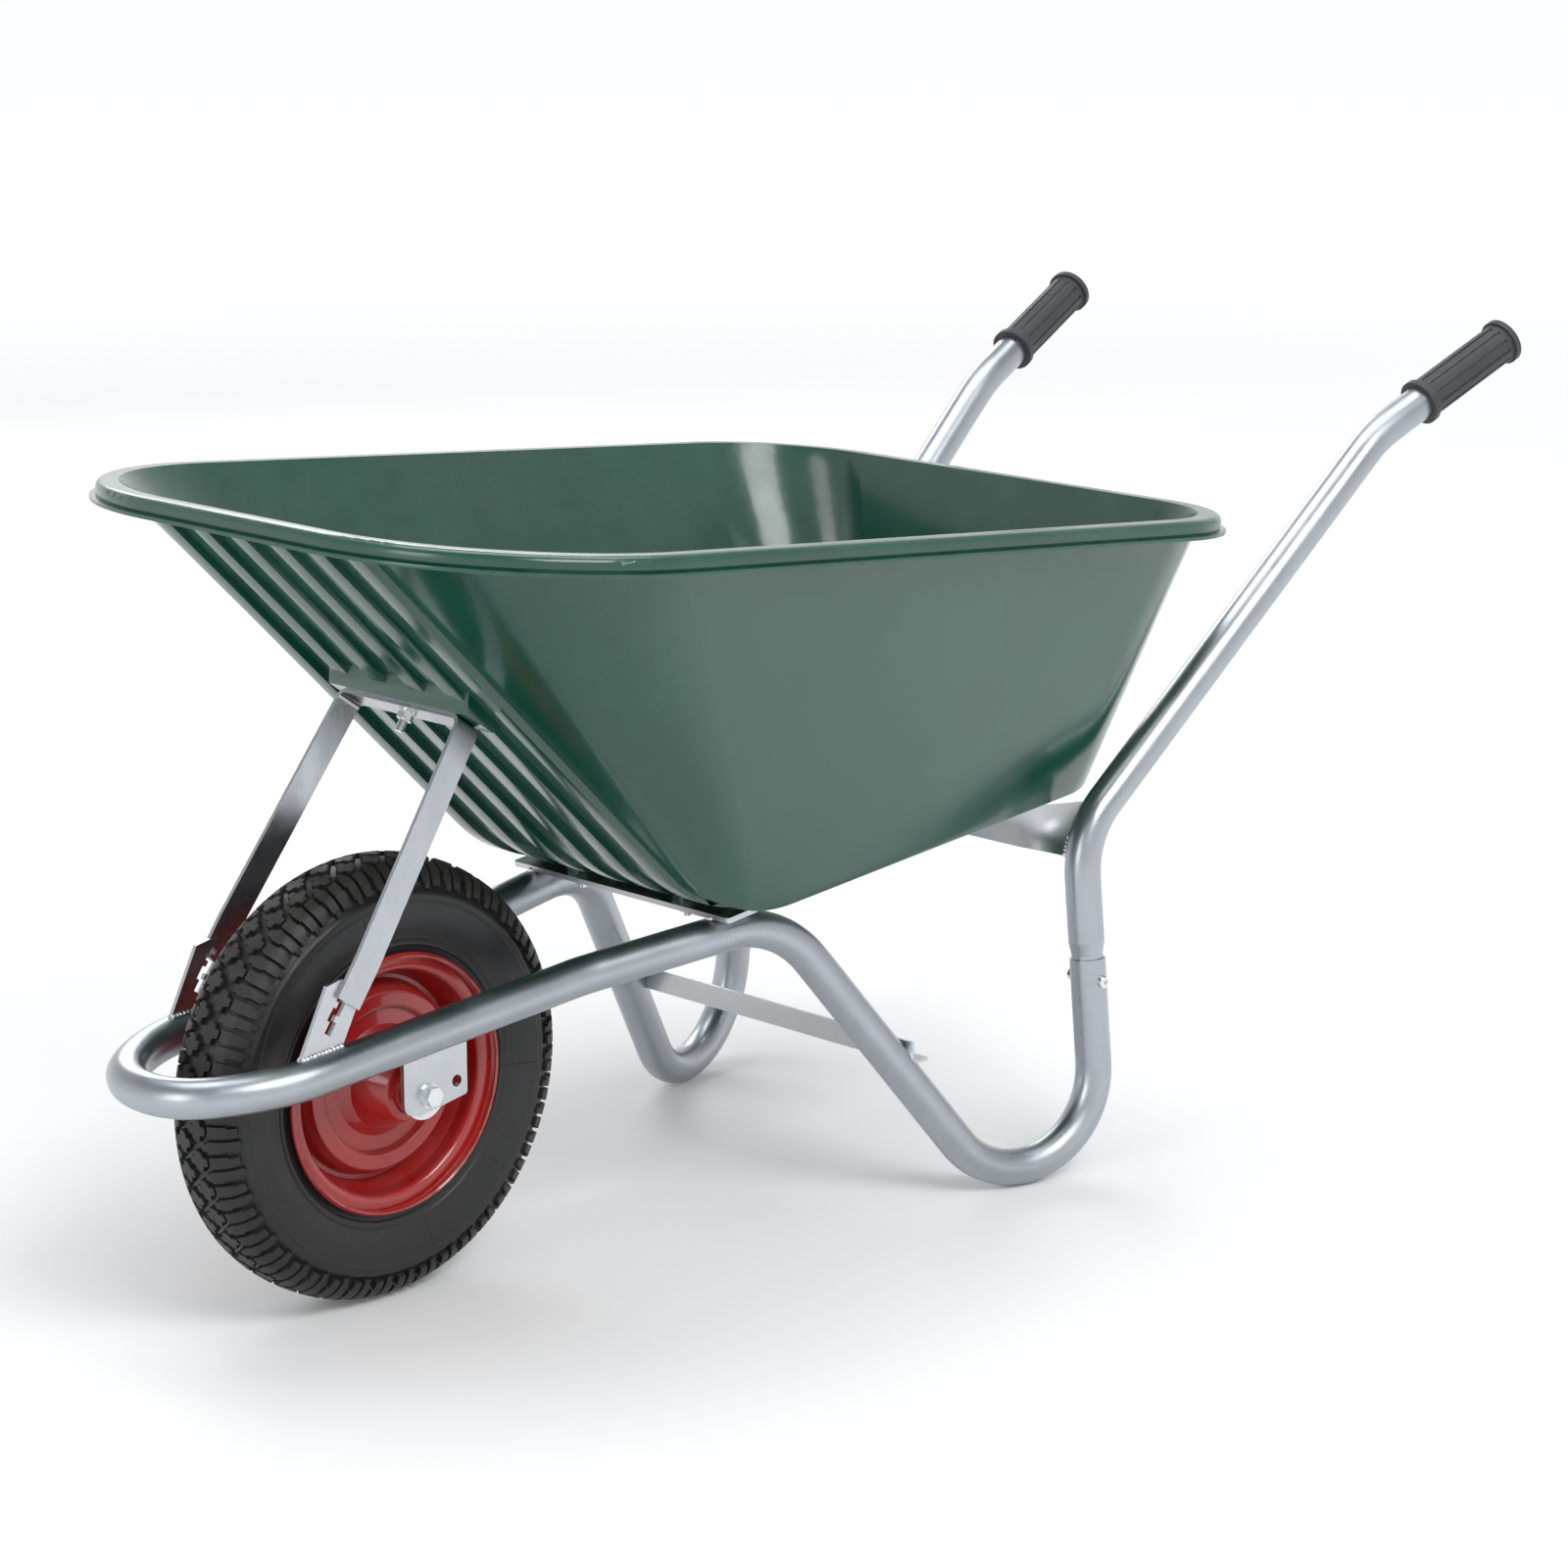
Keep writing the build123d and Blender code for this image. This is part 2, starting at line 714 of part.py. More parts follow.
with BuildPart() as leg_brace:
    apex, foot, knee = leg_points(1)
    leg_here = along_x_to_z(apex, foot, brace_z)
    corner = Vector(leg_here.X - brace_behind, 0, brace_z)
    points = [
        corner,
        corner + Vector(0, 0, -brace_h),
        corner + Vector(-brace_depth, 0, -brace_h),
        corner + Vector(-brace_depth, 0, -brace_h + brace_t),
        corner + Vector(-brace_t, 0, -brace_h + brace_t),
        corner + Vector(-brace_t, 0, 0),
    ]
    with BuildSketch(Plane.XZ):
        side_polygon(points)
    extrude(amount=brace_half, both=True)
    for side in (1, -1):
        add(leg_cores[side], mode=Mode.SUBTRACT)
save(leg_brace.part, "leg_brace")

# ------------------------------------------------------------- strut and lugs
lug_tail = at(lug_front_x, 0, rail_z - lug_sink)
lug_heel = at(lug_front_x - lug_base, 0, rail_z - lug_sink)
lug_up = strut_down * -1
slot_middle = at(strut_foot_x + slot_ahead, 0, strut_foot_z - slot_below)
tab_middle = slot_middle + lug_up * (slot_len / 4 - tab_rest) + strut_up_wall * (slot_w / 4)


def slot_spots():
    """Middles of the two zigzag slots of a lug, the upper one first."""
    return [slot_middle, slot_middle - lug_up * slot_gap]


def side_plane(y, origin):
    """Plane parallel to the middle plane, its normal pointing to +Y."""
    return Plane(origin=Vector(origin.X, y, origin.Z), x_dir=lug_up, z_dir=(0, 1, 0))


for side, hand in ((1, "left"), (-1, "right")):
    inner = side * (lug_half - lug_t / 2)
    with BuildPart() as lug_plate:
        lug_points = [
            lug_tail,
            lug_tail + Vector(-lug_lean, 0, lug_rise),
            lug_tail + Vector(-lug_lean - lug_nose, 0, lug_rise + lug_crest),
            lug_heel + Vector(-lug_lean, 0, lug_rise - lug_crest),
            lug_heel,
        ]
        with BuildSketch(Plane.XZ.offset(-inner)):
            side_polygon(lug_points)
        extrude(amount=lug_t / 2, both=True)
        add(loop_core.part, mode=Mode.SUBTRACT)
        for middle in slot_spots():
            with BuildSketch(side_plane(inner, middle)):
                with Locations((slot_len / 4, slot_w / 4), (-slot_len / 4, -slot_w / 4)):
                    Rectangle(slot_len / 2 + slot_overlap, slot_w)
            extrude(amount=lug_t, both=True, mode=Mode.SUBTRACT)
    save(lug_plate.part, f"lug_plate_{hand}")

strut_len = (tab_middle - strut_top).dot(strut_down) + tab_t / 2
foot_outer = lug_half + joint_gap + strut_t
with BuildPart() as tray_strut:
    with BuildSketch(Plane(origin=strut_top, x_dir=(0, -1, 0), z_dir=strut_up_wall)):
        with BuildLine():
            FilletPolyline(
                (foot_outer - strut_t / 2, strut_len),
                (foot_outer - strut_t / 2, strut_len - lug_cover),
                (strut_top_half - strut_t / 2, strut_t / 2),
                (strut_t / 2 - strut_top_half, strut_t / 2),
                (strut_t / 2 - foot_outer, strut_len - lug_cover),
                (strut_t / 2 - foot_outer, strut_len),
                radius=strut_bend,
            )
        trace(line_width=strut_t)
    extrude(amount=strut_w / 2, both=True)
    with BuildSketch(seat_plane):
        Circle(m8_hole_r)
    extrude(amount=2 * strut_t, both=True, mode=Mode.SUBTRACT)
    for side in (1, -1):
        tab_inner = lug_half - lug_t - tab_reach
        tab_start = Plane(
            origin=Vector(tab_middle.X, side * foot_outer, tab_middle.Z),
            x_dir=lug_up, z_dir=(0, -side, 0),
        )
        with BuildSketch(tab_start):
            Rectangle(tab_t, tab_w)
        extrude(amount=foot_outer - tab_inner)
save(tray_strut.part, "tray_strut")

# ------------------------------------------------------------- axle brackets
for side, hand in ((1, "left"), (-1, "right")):
    bracket_mid = side * (bracket_half - bracket_t / 2)
    low = wheel_r - bracket_drop
    top = rail_z - bracket_sink
    with BuildPart() as axle_bracket:
        with BuildSketch(Plane.XZ.offset(-bracket_mid)):
            with BuildLine() as bracket_edge:
                FilletPolyline(
                    (axle_x + bracket_front, top),
                    (axle_x + bracket_front, low + bracket_cut_h),
                    (axle_x + bracket_front - bracket_cut_w, low),
                    (axle_x + bracket_rear, low + bracket_rise),
                    (axle_x + bracket_rear, top),
                    radius=[bracket_corner, bracket_corner, bracket_rear_corner],
                )
                Line((axle_x + bracket_rear, top), (axle_x + bracket_front, top))
            make_face()
        extrude(amount=bracket_t / 2, both=True)
        with BuildSketch(Plane.XZ.offset(-bracket_mid)):
            with Locations((axle_x, wheel_r),
                           (axle_x + spare_hole_x, wheel_r + spare_hole_dz)):
                Circle(bolt_hole_r)
        extrude(amount=bracket_t, both=True, mode=Mode.SUBTRACT)
        add(loop_core.part, mode=Mode.SUBTRACT)
    save(axle_bracket.part, f"axle_bracket_{hand}")

# ----------------------------------------------------------------- fasteners
def hexagon(across_flats):
    RegularPolygon(radius=across_flats / math.sqrt(3), side_count=6)


def axle_plane(y):
    """Plane across the axle at a given y, its normal pointing to +Y."""
    return Plane(origin=at(0, y, wheel_r), x_dir=(1, 0, 0), z_dir=(0, 1, 0))


bolt_end = bracket_half + washer_t + nut_h + bolt_stick
with BuildPart() as axle_bolt:
    with BuildSketch(axle_plane(-bolt_end)):
        Circle(bolt_r)
    extrude(amount=bolt_end + bracket_half + washer_t)
    chamfer(axle_bolt.edges().filter_by(GeomType.CIRCLE).sort_by(Axis.Y)[0], bolt_lead)
    with BuildSketch(axle_plane(bracket_half + washer_t)):
        hexagon(head_af)
    extrude(amount=head_h)
save(axle_bolt.part, "axle_bolt")

with BuildPart() as axle_nut:
    with BuildSketch(axle_plane(-bracket_half - washer_t)):
        hexagon(head_af)
        Circle(bolt_r + hole_gap, mode=Mode.SUBTRACT)
    extrude(amount=-nut_h)
save(axle_nut.part, "axle_nut")

for side, hand in ((1, "left"), (-1, "right")):
    with BuildPart() as axle_washer:
        with BuildSketch(axle_plane(side * bracket_half)):
            Circle(washer_r)
            Circle(bolt_r + hole_gap, mode=Mode.SUBTRACT)
        extrude(amount=side * washer_t)
    save(axle_washer.part, f"axle_washer_{hand}")

inner_face = bracket_half - bracket_t
with BuildPart() as axle_sleeve:
    with BuildSketch(axle_plane(-inner_face)):
        Circle(sleeve_r)
        Circle(bolt_r + hole_gap, mode=Mode.SUBTRACT)
    extrude(amount=2 * inner_face)
save(axle_sleeve.part, "axle_sleeve")

for side, hand in ((1, "left"), (-1, "right")):
    with BuildPart() as hub_collar:
        with BuildSketch(axle_plane(side * inner_face)):
            Circle(collar_r)
        extrude(amount=-side * collar_t)
        with BuildSketch(axle_plane(side * (inner_face - collar_t))):
            Circle(collar_neck_r)
        extrude(amount=-side * (inner_face - collar_t - hub_half - hub_gap))
        with BuildSketch(axle_plane(side * inner_face)):
            Circle(sleeve_r + fit_gap)
        extrude(amount=-side * 2 * (inner_face - hub_half), mode=Mode.SUBTRACT)
    save(hub_collar.part, f"hub_collar_{hand}")

with BuildPart() as tray_bolts:
    bolt_below = plate_t + m8_washer_t + m8_nut_h + tray_bolt_stick
    for place, seat in zip(tray_bolt_places(), tray_bolt_seats):
        with BuildSketch(place.offset(seat)):
            Circle(m8_head_r)
        extrude(amount=tray_bolt_head_h)
        with BuildSketch(place.offset(seat)):
            Circle(m8_r)
        extrude(amount=-(seat + bolt_below))
save(tray_bolts.part, "tray_bolts")

with BuildPart() as tray_nuts:
    for place in tray_bolt_places():
        with BuildSketch(place.offset(-plate_t - m8_washer_t)):
            hexagon(m8_head_af)
            Circle(m8_r + hole_gap, mode=Mode.SUBTRACT)
        extrude(amount=-m8_nut_h)
save(tray_nuts.part, "tray_nuts")

with BuildPart() as tray_washers:
    for place in tray_bolt_places():
        with BuildSketch(place.offset(-plate_t)):
            Circle(m8_washer_r)
            Circle(m8_r + hole_gap, mode=Mode.SUBTRACT)
        extrude(amount=-m8_washer_t)
save(tray_washers.part, "tray_washers")

# the strut bolt: head in the tray, nut below the strut's cross bar
strut_bolt_reach = strut_t + m8_washer_t + m8_nut_h + strut_bolt_stick
with BuildPart() as strut_bolt:
    with BuildSketch(wall_face):
        Circle(m8_head_r)
    extrude(amount=m8_head_h)
    with BuildSketch(wall_face):
        Circle(m8_r)
    extrude(amount=-(seat_grip + strut_bolt_reach))
save(strut_bolt.part, "strut_bolt")

with BuildPart() as strut_washer:
    with BuildSketch(seat_plane.offset(-strut_t)):
        Circle(m8_washer_r)
        Circle(m8_r + hole_gap, mode=Mode.SUBTRACT)
    extrude(amount=-m8_washer_t)
save(strut_washer.part, "strut_washer")

with BuildPart() as strut_nut:
    with BuildSketch(seat_plane.offset(-strut_t - m8_washer_t)):
        hexagon(m8_head_af)
        Circle(m8_r + hole_gap, mode=Mode.SUBTRACT)
    extrude(amount=-m8_nut_h)
save(strut_nut.part, "strut_nut")

for side, hand in ((1, "left"), (-1, "right")):
    place = screw_place(side)
    with BuildPart() as joint_screw:
        with BuildSketch(place.offset(tube_r - screw_seat)):
            Circle(m6_head_r)
        extrude(amount=m6_head_h + screw_seat)
        chamfer(joint_screw.faces().sort_by(Axis.Y)[-1 if side > 0 else 0].edges(), m6_head_edge)
        with BuildSketch(place.offset(tube_r + m6_head_h)):
            Rectangle(m6_recess, m6_recess_w)
            Rectangle(m6_recess_w, m6_recess)
        extrude(amount=-m6_recess_depth, mode=Mode.SUBTRACT)
        with BuildSketch(place.offset(-tube_r - m6_nut_h)):
            hexagon(m6_nut_af)
        extrude(amount=m6_nut_h + screw_seat)
        add(leg_cores[side], mode=Mode.SUBTRACT)
        with BuildSketch(place.offset(-tube_r - m6_nut_h - m6_stick)):
            Circle(m6_r)
        extrude(amount=2 * tube_r + m6_nut_h + m6_stick + m6_head_h - m6_recess_depth - m6_web)
    save(joint_screw.part, f"joint_screw_{hand}")

# --------------------------------------------------------------------- wheel
axle_line = Axis(origin=at(0, 0, wheel_r), direction=(0, 1, 0))
wheel_section = Plane(origin=at(0, 0, wheel_r), x_dir=(0, 1, 0), z_dir=(1, 0, 0))


def mirrored(points):
    """Points given as (y, radius), followed by their mirror images."""
    return points + [(-y, r) for y, r in reversed(points)]


with BuildPart() as hub_tube:
    with BuildSketch(axle_plane(-hub_half)):
        Circle(hub_r)
        Circle(bearing_r, mode=Mode.SUBTRACT)
    extrude(amount=2 * hub_half)
save(hub_tube.part, "hub_tube")

for side, hand in ((1, "left"), (-1, "right")):
    with BuildPart() as bearing:
        with BuildSketch(axle_plane(side * (hub_half - bearing_inset))):
            Circle(bearing_r)
            Circle(sleeve_r + running_gap, mode=Mode.SUBTRACT)
        extrude(amount=-side * bearing_len)
    save(bearing.part, f"bearing_{hand}")

valve_tilt = Rotation(0, valve_deg, 0)
valve_route = [
    at(0, -4.0, wheel_r) + Vector(0, 0, tube_ring_r - tube_ring_half + 2.0),
    at(0, -9.0, wheel_r) + Vector(0, 0, seat_r + 2.0),
    at(0, -36.0, wheel_r) + Vector(0, 0, seat_r - valve_drop),
]
spin = Location(at(0, 0, wheel_r)) * valve_tilt * Location(-at(0, 0, wheel_r))
valve_route = [(spin * Location(p)).position for p in valve_route]
valve_way = (valve_route[2] - valve_route[1]).normalized()

for side, hand in ((1, "left"), (-1, "right")):
    with BuildPart() as rim:
        with BuildSketch(wheel_section):
            with BuildLine():
                FilletPolyline(
                    (side * 57.0, hub_r + 0.5),
                    (side * 55.0, 27.0),
                    (side * 24.0, 41.0),
                    (side * 15.0, 50.0),
                    (side * 14.0, 64.0),
                    (side * 20.0, 68.0),
                    (side * 20.0, 80.0),
                    (side * 12.0, 84.0),
                    (side * (rim_t / 2 + 0.2), 88.0),
                    (side * (rim_t / 2 + 0.2), 93.0),
                    (side * 8.0, 97.0),
                    (side * 16.0, seat_r),
                    (side * (flange_half - rim_t / 2), seat_r),
                    (side * (flange_half - rim_t / 2), flange_r - roll_r),
                    (side * (flange_half + roll_r), flange_r - rim_t / 2),
                    (side * (flange_half + 2 * roll_r), flange_r - roll_r),
                    radius=[1.5] * 11 + [throat_r, 1.5, 2.0],
                )
            trace(line_width=rim_t)
        revolve(axis=axle_line)
        if side < 0:
            with BuildSketch(Plane(origin=valve_route[1], z_dir=valve_way)):
                Circle(valve_r + hole_gap)
            extrude(amount=valve_drop, mode=Mode.SUBTRACT)
    save(rim.part, f"rim_{hand}")

with BuildPart() as tyre:
    with BuildSketch(wheel_section):
        with BuildLine():
            FilletPolyline(
                *mirrored([
                    (29.5, 102.7),
                    (30.2, 119.0),
                    (tyre_half, wheel_r - 45.0),
                    (tyre_half - 2.5, wheel_r - 18.0),
                    (24.0, wheel_r - 3.5),
                    (6.0, wheel_r),
                ]),
                radius=[3.0, 12.0, 22.0, 12.0, 20.0, 20.0,
                        20.0, 20.0, 12.0, 22.0, 12.0, 3.0],
                close=True,
            )
        make_face()
        with BuildLine():
            FilletPolyline(
                *mirrored([
                    (16.0, 95.0),
                    (16.0, 105.0),
                    (23.0, 113.0),
                    (24.5, 121.0),
                    (tyre_half - tyre_wall, wheel_r - 44.0),
                    (tyre_half - tyre_wall - 2.0, wheel_r - 22.0),
                    (18.0, wheel_r - groove_depth - tyre_wall),
                ]),
                radius=[0.5, 4.0, 8.0, 12.0, 22.0, 12.0, 16.0,
                        16.0, 12.0, 22.0, 12.0, 8.0, 4.0, 0.5],
                close=True,
            )
        make_face(mode=Mode.SUBTRACT)
        for y in (-groove_y, 0.0, groove_y):
            with Locations((y, wheel_r)):
                Rectangle(groove_w, 2 * groove_depth, mode=Mode.SUBTRACT)
    revolve(axis=axle_line)
save(tyre.part, "tyre")

with BuildPart() as inner_tube:
    with BuildSketch(wheel_section):
        with Locations((0, tube_ring_r)):
            Circle(tube_ring_half)
            Circle(tube_ring_half - tube_ring_t, mode=Mode.SUBTRACT)
    revolve(axis=axle_line)
save(inner_tube.part, "inner_tube")

with BuildPart() as valve_stem:
    bent_bar(valve_route, valve_bend, valve_r)
    add(inner_tube.part, mode=Mode.SUBTRACT)
save(valve_stem.part, "valve_stem")

with BuildPart() as valve_cap:
    with BuildSketch(Plane(origin=valve_route[2] - valve_way * valve_cap_len, z_dir=valve_way)):
        Circle(valve_r + valve_cap_gap + valve_cap_wall)
    extrude(amount=valve_cap_len + valve_cap_top)
    with BuildSketch(Plane(origin=valve_route[2] - valve_way * valve_cap_len, z_dir=valve_way)):
        Circle(valve_r + valve_cap_gap)
    extrude(amount=valve_cap_len, mode=Mode.SUBTRACT)
save(valve_cap.part, "valve_cap")
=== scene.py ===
# %% [markdown]
# # A builder's wheelbarrow
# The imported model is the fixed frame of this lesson. Its pieces are already the right size and in
# the right place, so each step below only adds a finish, or a finer piece over a plain one.
# All sizes are in metres. +X points to the wheel, +Y to the left of the person pushing, +Z up.

# %% Load the frame
import math

import bmesh
import bpy
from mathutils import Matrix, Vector
from mathutils.bvhtree import BVHTree


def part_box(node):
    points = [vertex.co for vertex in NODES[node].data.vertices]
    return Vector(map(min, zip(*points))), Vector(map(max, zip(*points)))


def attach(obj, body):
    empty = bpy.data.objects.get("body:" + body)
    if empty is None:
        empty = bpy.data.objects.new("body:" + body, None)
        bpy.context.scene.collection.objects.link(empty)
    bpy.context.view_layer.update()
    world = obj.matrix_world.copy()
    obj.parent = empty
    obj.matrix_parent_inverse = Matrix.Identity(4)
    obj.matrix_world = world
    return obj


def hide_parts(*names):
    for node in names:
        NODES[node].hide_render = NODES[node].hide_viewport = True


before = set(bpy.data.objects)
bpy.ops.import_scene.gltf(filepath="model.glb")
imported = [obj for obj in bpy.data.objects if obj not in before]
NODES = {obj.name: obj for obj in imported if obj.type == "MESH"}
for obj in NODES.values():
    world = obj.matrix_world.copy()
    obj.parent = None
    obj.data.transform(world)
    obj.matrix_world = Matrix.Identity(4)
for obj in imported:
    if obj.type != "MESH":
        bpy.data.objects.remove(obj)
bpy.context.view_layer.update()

axle_low, axle_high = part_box("tyre")
AXLE = (axle_low + axle_high) / 2
WHEEL_R = (axle_high.z - axle_low.z) / 2
MM = 0.001
print("pieces", len(NODES), "wheel radius", round(WHEEL_R, 4))

# %% [markdown]
# ## Small helpers for node trees
# A finish and a Geometry Nodes tree are both made of nodes and links. One helper adds a node, sets
# its options and fills its sockets, either with a value or with a link from another node. That
# keeps each recipe below as short as the sentence that describes it.

# %% Node helpers
def add(tree, kind, options=None, **sockets):
    """Adds a node. A socket's keyword is its name with spaces as underscores, or in0, in1 ..."""
    node = tree.nodes.new(kind)
    for key, value in (options or {}).items():
        setattr(node, key, value)
    for key, value in sockets.items():
        number = key[2:]
        if key.startswith("in") and number.isdigit():
            socket = node.inputs[int(number)]
        else:
            socket = node.inputs[key.replace("_", " ")]
        if isinstance(value, bpy.types.NodeSocket):
            tree.links.new(value, socket)
        else:
            socket.default_value = value
    return node


def math_node(tree, operation, a, b=0.0, clamp=False):
    options = {"operation": operation, "use_clamp": clamp}
    return add(tree, "ShaderNodeMath", options, in0=a, in1=b).outputs[0]


def spread(tree, value, low, high, to_low=0.0, to_high=1.0):
    """Stretches a value from one range to another, and stops at the ends."""
    return add(tree, "ShaderNodeMapRange", None, Value=value, From_Min=low, From_Max=high,
               To_Min=to_low, To_Max=to_high).outputs["Result"]


def mix_colour(tree, factor, a, b):
    node = add(tree, "ShaderNodeMix", {"data_type": "RGBA"}, Factor=factor)
    for index, value in ((6, a), (7, b)):
        if isinstance(value, bpy.types.NodeSocket):
            tree.links.new(value, node.inputs[index])
        else:
            node.inputs[index].default_value = (*value, 1.0)
    return node.outputs[2]


def new_group(name, inputs, outputs):
    """A shader node group with named inputs {name: value} and outputs {name: kind}."""
    group = bpy.data.node_groups.new(name, "ShaderNodeTree")
    for label, value in inputs.items():
        kind = "NodeSocketColor" if isinstance(value, tuple) else "NodeSocketFloat"
        socket = group.interface.new_socket(label, in_out="INPUT", socket_type=kind)
        socket.default_value = value
    for label, kind in outputs.items():
        group.interface.new_socket(label, in_out="OUTPUT", socket_type=kind)
    return group, group.nodes.new("NodeGroupInput"), group.nodes.new("NodeGroupOutput")


def object_place(tree, scale=(1.0, 1.0, 1.0), turn=(0.0, 0.0, 0.0)):
    place = add(tree, "ShaderNodeTexCoord").outputs["Object"]
    return add(tree, "ShaderNodeMapping", None, Vector=place, Scale=scale, Rotation=turn).outputs[0]


# %% [markdown]
# ## Shared effects
# Three effects turn up on nearly every piece of a real barrow: edges rubbed bright or pale, a fine
# grain in the skin of the material, and dust that lies on what faces up. Each is one shader group,
# built once and placed in every material with its own values.

# %% Shared effect: rubbed edges
edge_wear, given, result = new_group(
    "Rubbed edges", {"Width": 0.002, "Patch size": 60.0, "Amount": 0.5},
    {"Mask": "NodeSocketFloat"})
rounded_normal = add(edge_wear, "ShaderNodeBevel", {"samples": 6}, Radius=given.outputs["Width"])
true_normal = add(edge_wear, "ShaderNodeNewGeometry").outputs["Normal"]
agree = add(edge_wear, "ShaderNodeVectorMath", {"operation": "DOT_PRODUCT"},
            in0=rounded_normal.outputs[0], in1=true_normal).outputs["Value"]
edge = spread(edge_wear, agree, 0.99, 0.86)
patches = add(edge_wear, "ShaderNodeTexNoise", None, Vector=object_place(edge_wear),
              Scale=given.outputs["Patch size"], Detail=4.0, Roughness=0.65)
broken = spread(edge_wear, patches.outputs["Fac"], 0.42, 0.6)
rubbed = math_node(edge_wear, "MULTIPLY", edge, broken)
edge_wear.links.new(math_node(edge_wear, "MULTIPLY", rubbed, given.outputs["Amount"], True),
                    result.inputs["Mask"])

# %% Shared effect: fine grain
fine_grain, given, result = new_group(
    "Fine grain", {"Size": 900.0, "Strength": 1.0}, {"Height": "NodeSocketFloat",
                                                      "Tone": "NodeSocketFloat"})
small = add(fine_grain, "ShaderNodeTexNoise", None, Vector=object_place(fine_grain),
            Scale=given.outputs["Size"], Detail=3.0, Roughness=0.6).outputs["Fac"]
large = add(fine_grain, "ShaderNodeTexNoise", None, Vector=object_place(fine_grain),
            Scale=9.0, Detail=5.0, Roughness=0.55).outputs["Fac"]
fine_grain.links.new(math_node(fine_grain, "MULTIPLY", small, given.outputs["Strength"]),
                     result.inputs["Height"])
fine_grain.links.new(large, result.inputs["Tone"])

# %% Shared effect: settled dust
settled_dust, given, result = new_group(
    "Settled dust", {"Amount": 0.3, "Patch size": 14.0}, {"Mask": "NodeSocketFloat"})
facing = add(settled_dust, "ShaderNodeSeparateXYZ", None,
             Vector=add(settled_dust, "ShaderNodeNewGeometry").outputs["Normal"]).outputs["Z"]
upward = spread(settled_dust, facing, -0.1, 0.9)
cloud = add(settled_dust, "ShaderNodeTexNoise", None, Vector=object_place(settled_dust),
            Scale=given.outputs["Patch size"], Detail=6.0, Roughness=0.7).outputs["Fac"]
lying = math_node(settled_dust, "MULTIPLY", upward, spread(settled_dust, cloud, 0.35, 0.7))
settled_dust.links.new(math_node(settled_dust, "MULTIPLY", lying, given.outputs["Amount"], True),
                       result.inputs["Mask"])
print("shared effects", [g.name for g in (edge_wear, fine_grain, settled_dust)])

# %% [markdown]
# ## Starting a material
# Every material is one Principled shader, with its bump from the fine grain and its colour and
# roughness steered by the shared effects. The starter returns the pieces that a recipe needs.

# %% Material starter
def use_group(tree, group, **values):
    node = tree.nodes.new("ShaderNodeGroup")
    node.node_tree = group
    for key, value in values.items():
        socket = node.inputs[key.replace("_", " ")]
        socket.default_value = value
    return node


def start_material(name, metallic=0.0, coat=0.0, coat_rough=0.1, specular=0.5):
    material = bpy.data.materials.new(name)
    material.use_nodes = True
    tree = material.node_tree
    shader = tree.nodes["Principled BSDF"]
    shader.inputs["Metallic"].default_value = metallic
    shader.inputs["Coat Weight"].default_value = coat
    shader.inputs["Coat Roughness"].default_value = coat_rough
    shader.inputs["Specular IOR Level"].default_value = specular
    return material, tree, shader


def finish_skin(tree, shader, colour, roughness, height, distance):
    """Links colour, roughness and a bump of the given depth into the shader."""
    tree.links.new(colour, shader.inputs["Base Color"])
    tree.links.new(roughness, shader.inputs["Roughness"])
    bump = add(tree, "ShaderNodeBump", None, Height=height, Distance=distance, Strength=0.6)
    tree.links.new(bump.outputs[0], shader.inputs["Normal"])


# %% [markdown]
# ## Galvanised steel
# The tubes, plates and strip are zinc plated. Zinc is a cool silver that has dulled unevenly, with
# faint streaks from drawing, pale bloom and small dark scuffs where the barrow has been stacked.
# Noise stretched along one axis gives streaks, a cell pattern gives the faint spangle.

# %% Galvanised steel
def zinc_material(name, tint, rough, streak_scale, scuff, bloom):
    material, tree, shader = start_material(name, metallic=1.0)
    grain = use_group(tree, fine_grain, Size=1400.0, Strength=0.6)
    streak = add(tree, "ShaderNodeTexNoise", None, Vector=object_place(tree, streak_scale),
                 Scale=40.0, Detail=4.0, Roughness=0.6).outputs["Fac"]
    spangle = add(tree, "ShaderNodeTexVoronoi", None, Vector=object_place(tree), Scale=110.0)
    cells = add(tree, "ShaderNodeSeparateColor", None, Color=spangle.outputs["Color"]).outputs[0]
    marks = add(tree, "ShaderNodeTexNoise", None, Vector=object_place(tree, (1.0, 2.4, 1.6)),
                Scale=34.0, Detail=7.0, Roughness=0.75).outputs["Fac"]
    scuffs = spread(tree, marks, 0.72 - scuff, 0.78 - scuff)
    haze = spread(tree, grain.outputs["Tone"], 0.5, 0.72)
    base = mix_colour(tree, spread(tree, cells, 0.0, 1.0, 0.0, 0.22), tint,
                      tuple(c * 0.86 for c in tint))
    bloomed = mix_colour(tree, math_node(tree, "MULTIPLY", haze, bloom), base,
                         tuple(min(1.0, c * 1.25) for c in tint))
    marked = mix_colour(tree, math_node(tree, "MULTIPLY", scuffs, 0.7), bloomed,
                        (0.17, 0.17, 0.18))
    wear = use_group(tree, edge_wear, Width=0.0015, Patch_size=90.0, Amount=0.5)
    colour = mix_colour(tree, wear.outputs["Mask"], marked, (0.88, 0.88, 0.88))
    streaked = spread(tree, streak, 0.3, 0.7, rough - 0.05, rough + 0.09)
    hazed = math_node(tree, "ADD", streaked, math_node(tree, "MULTIPLY", haze, 0.10))
    roughness = math_node(tree, "ADD", hazed, math_node(tree, "MULTIPLY", scuffs, 0.2), True)
    height = math_node(tree, "ADD", grain.outputs["Height"], math_node(tree, "MULTIPLY", streak, 0.6))
    finish_skin(tree, shader, colour, roughness, height, 0.00012)
    return material


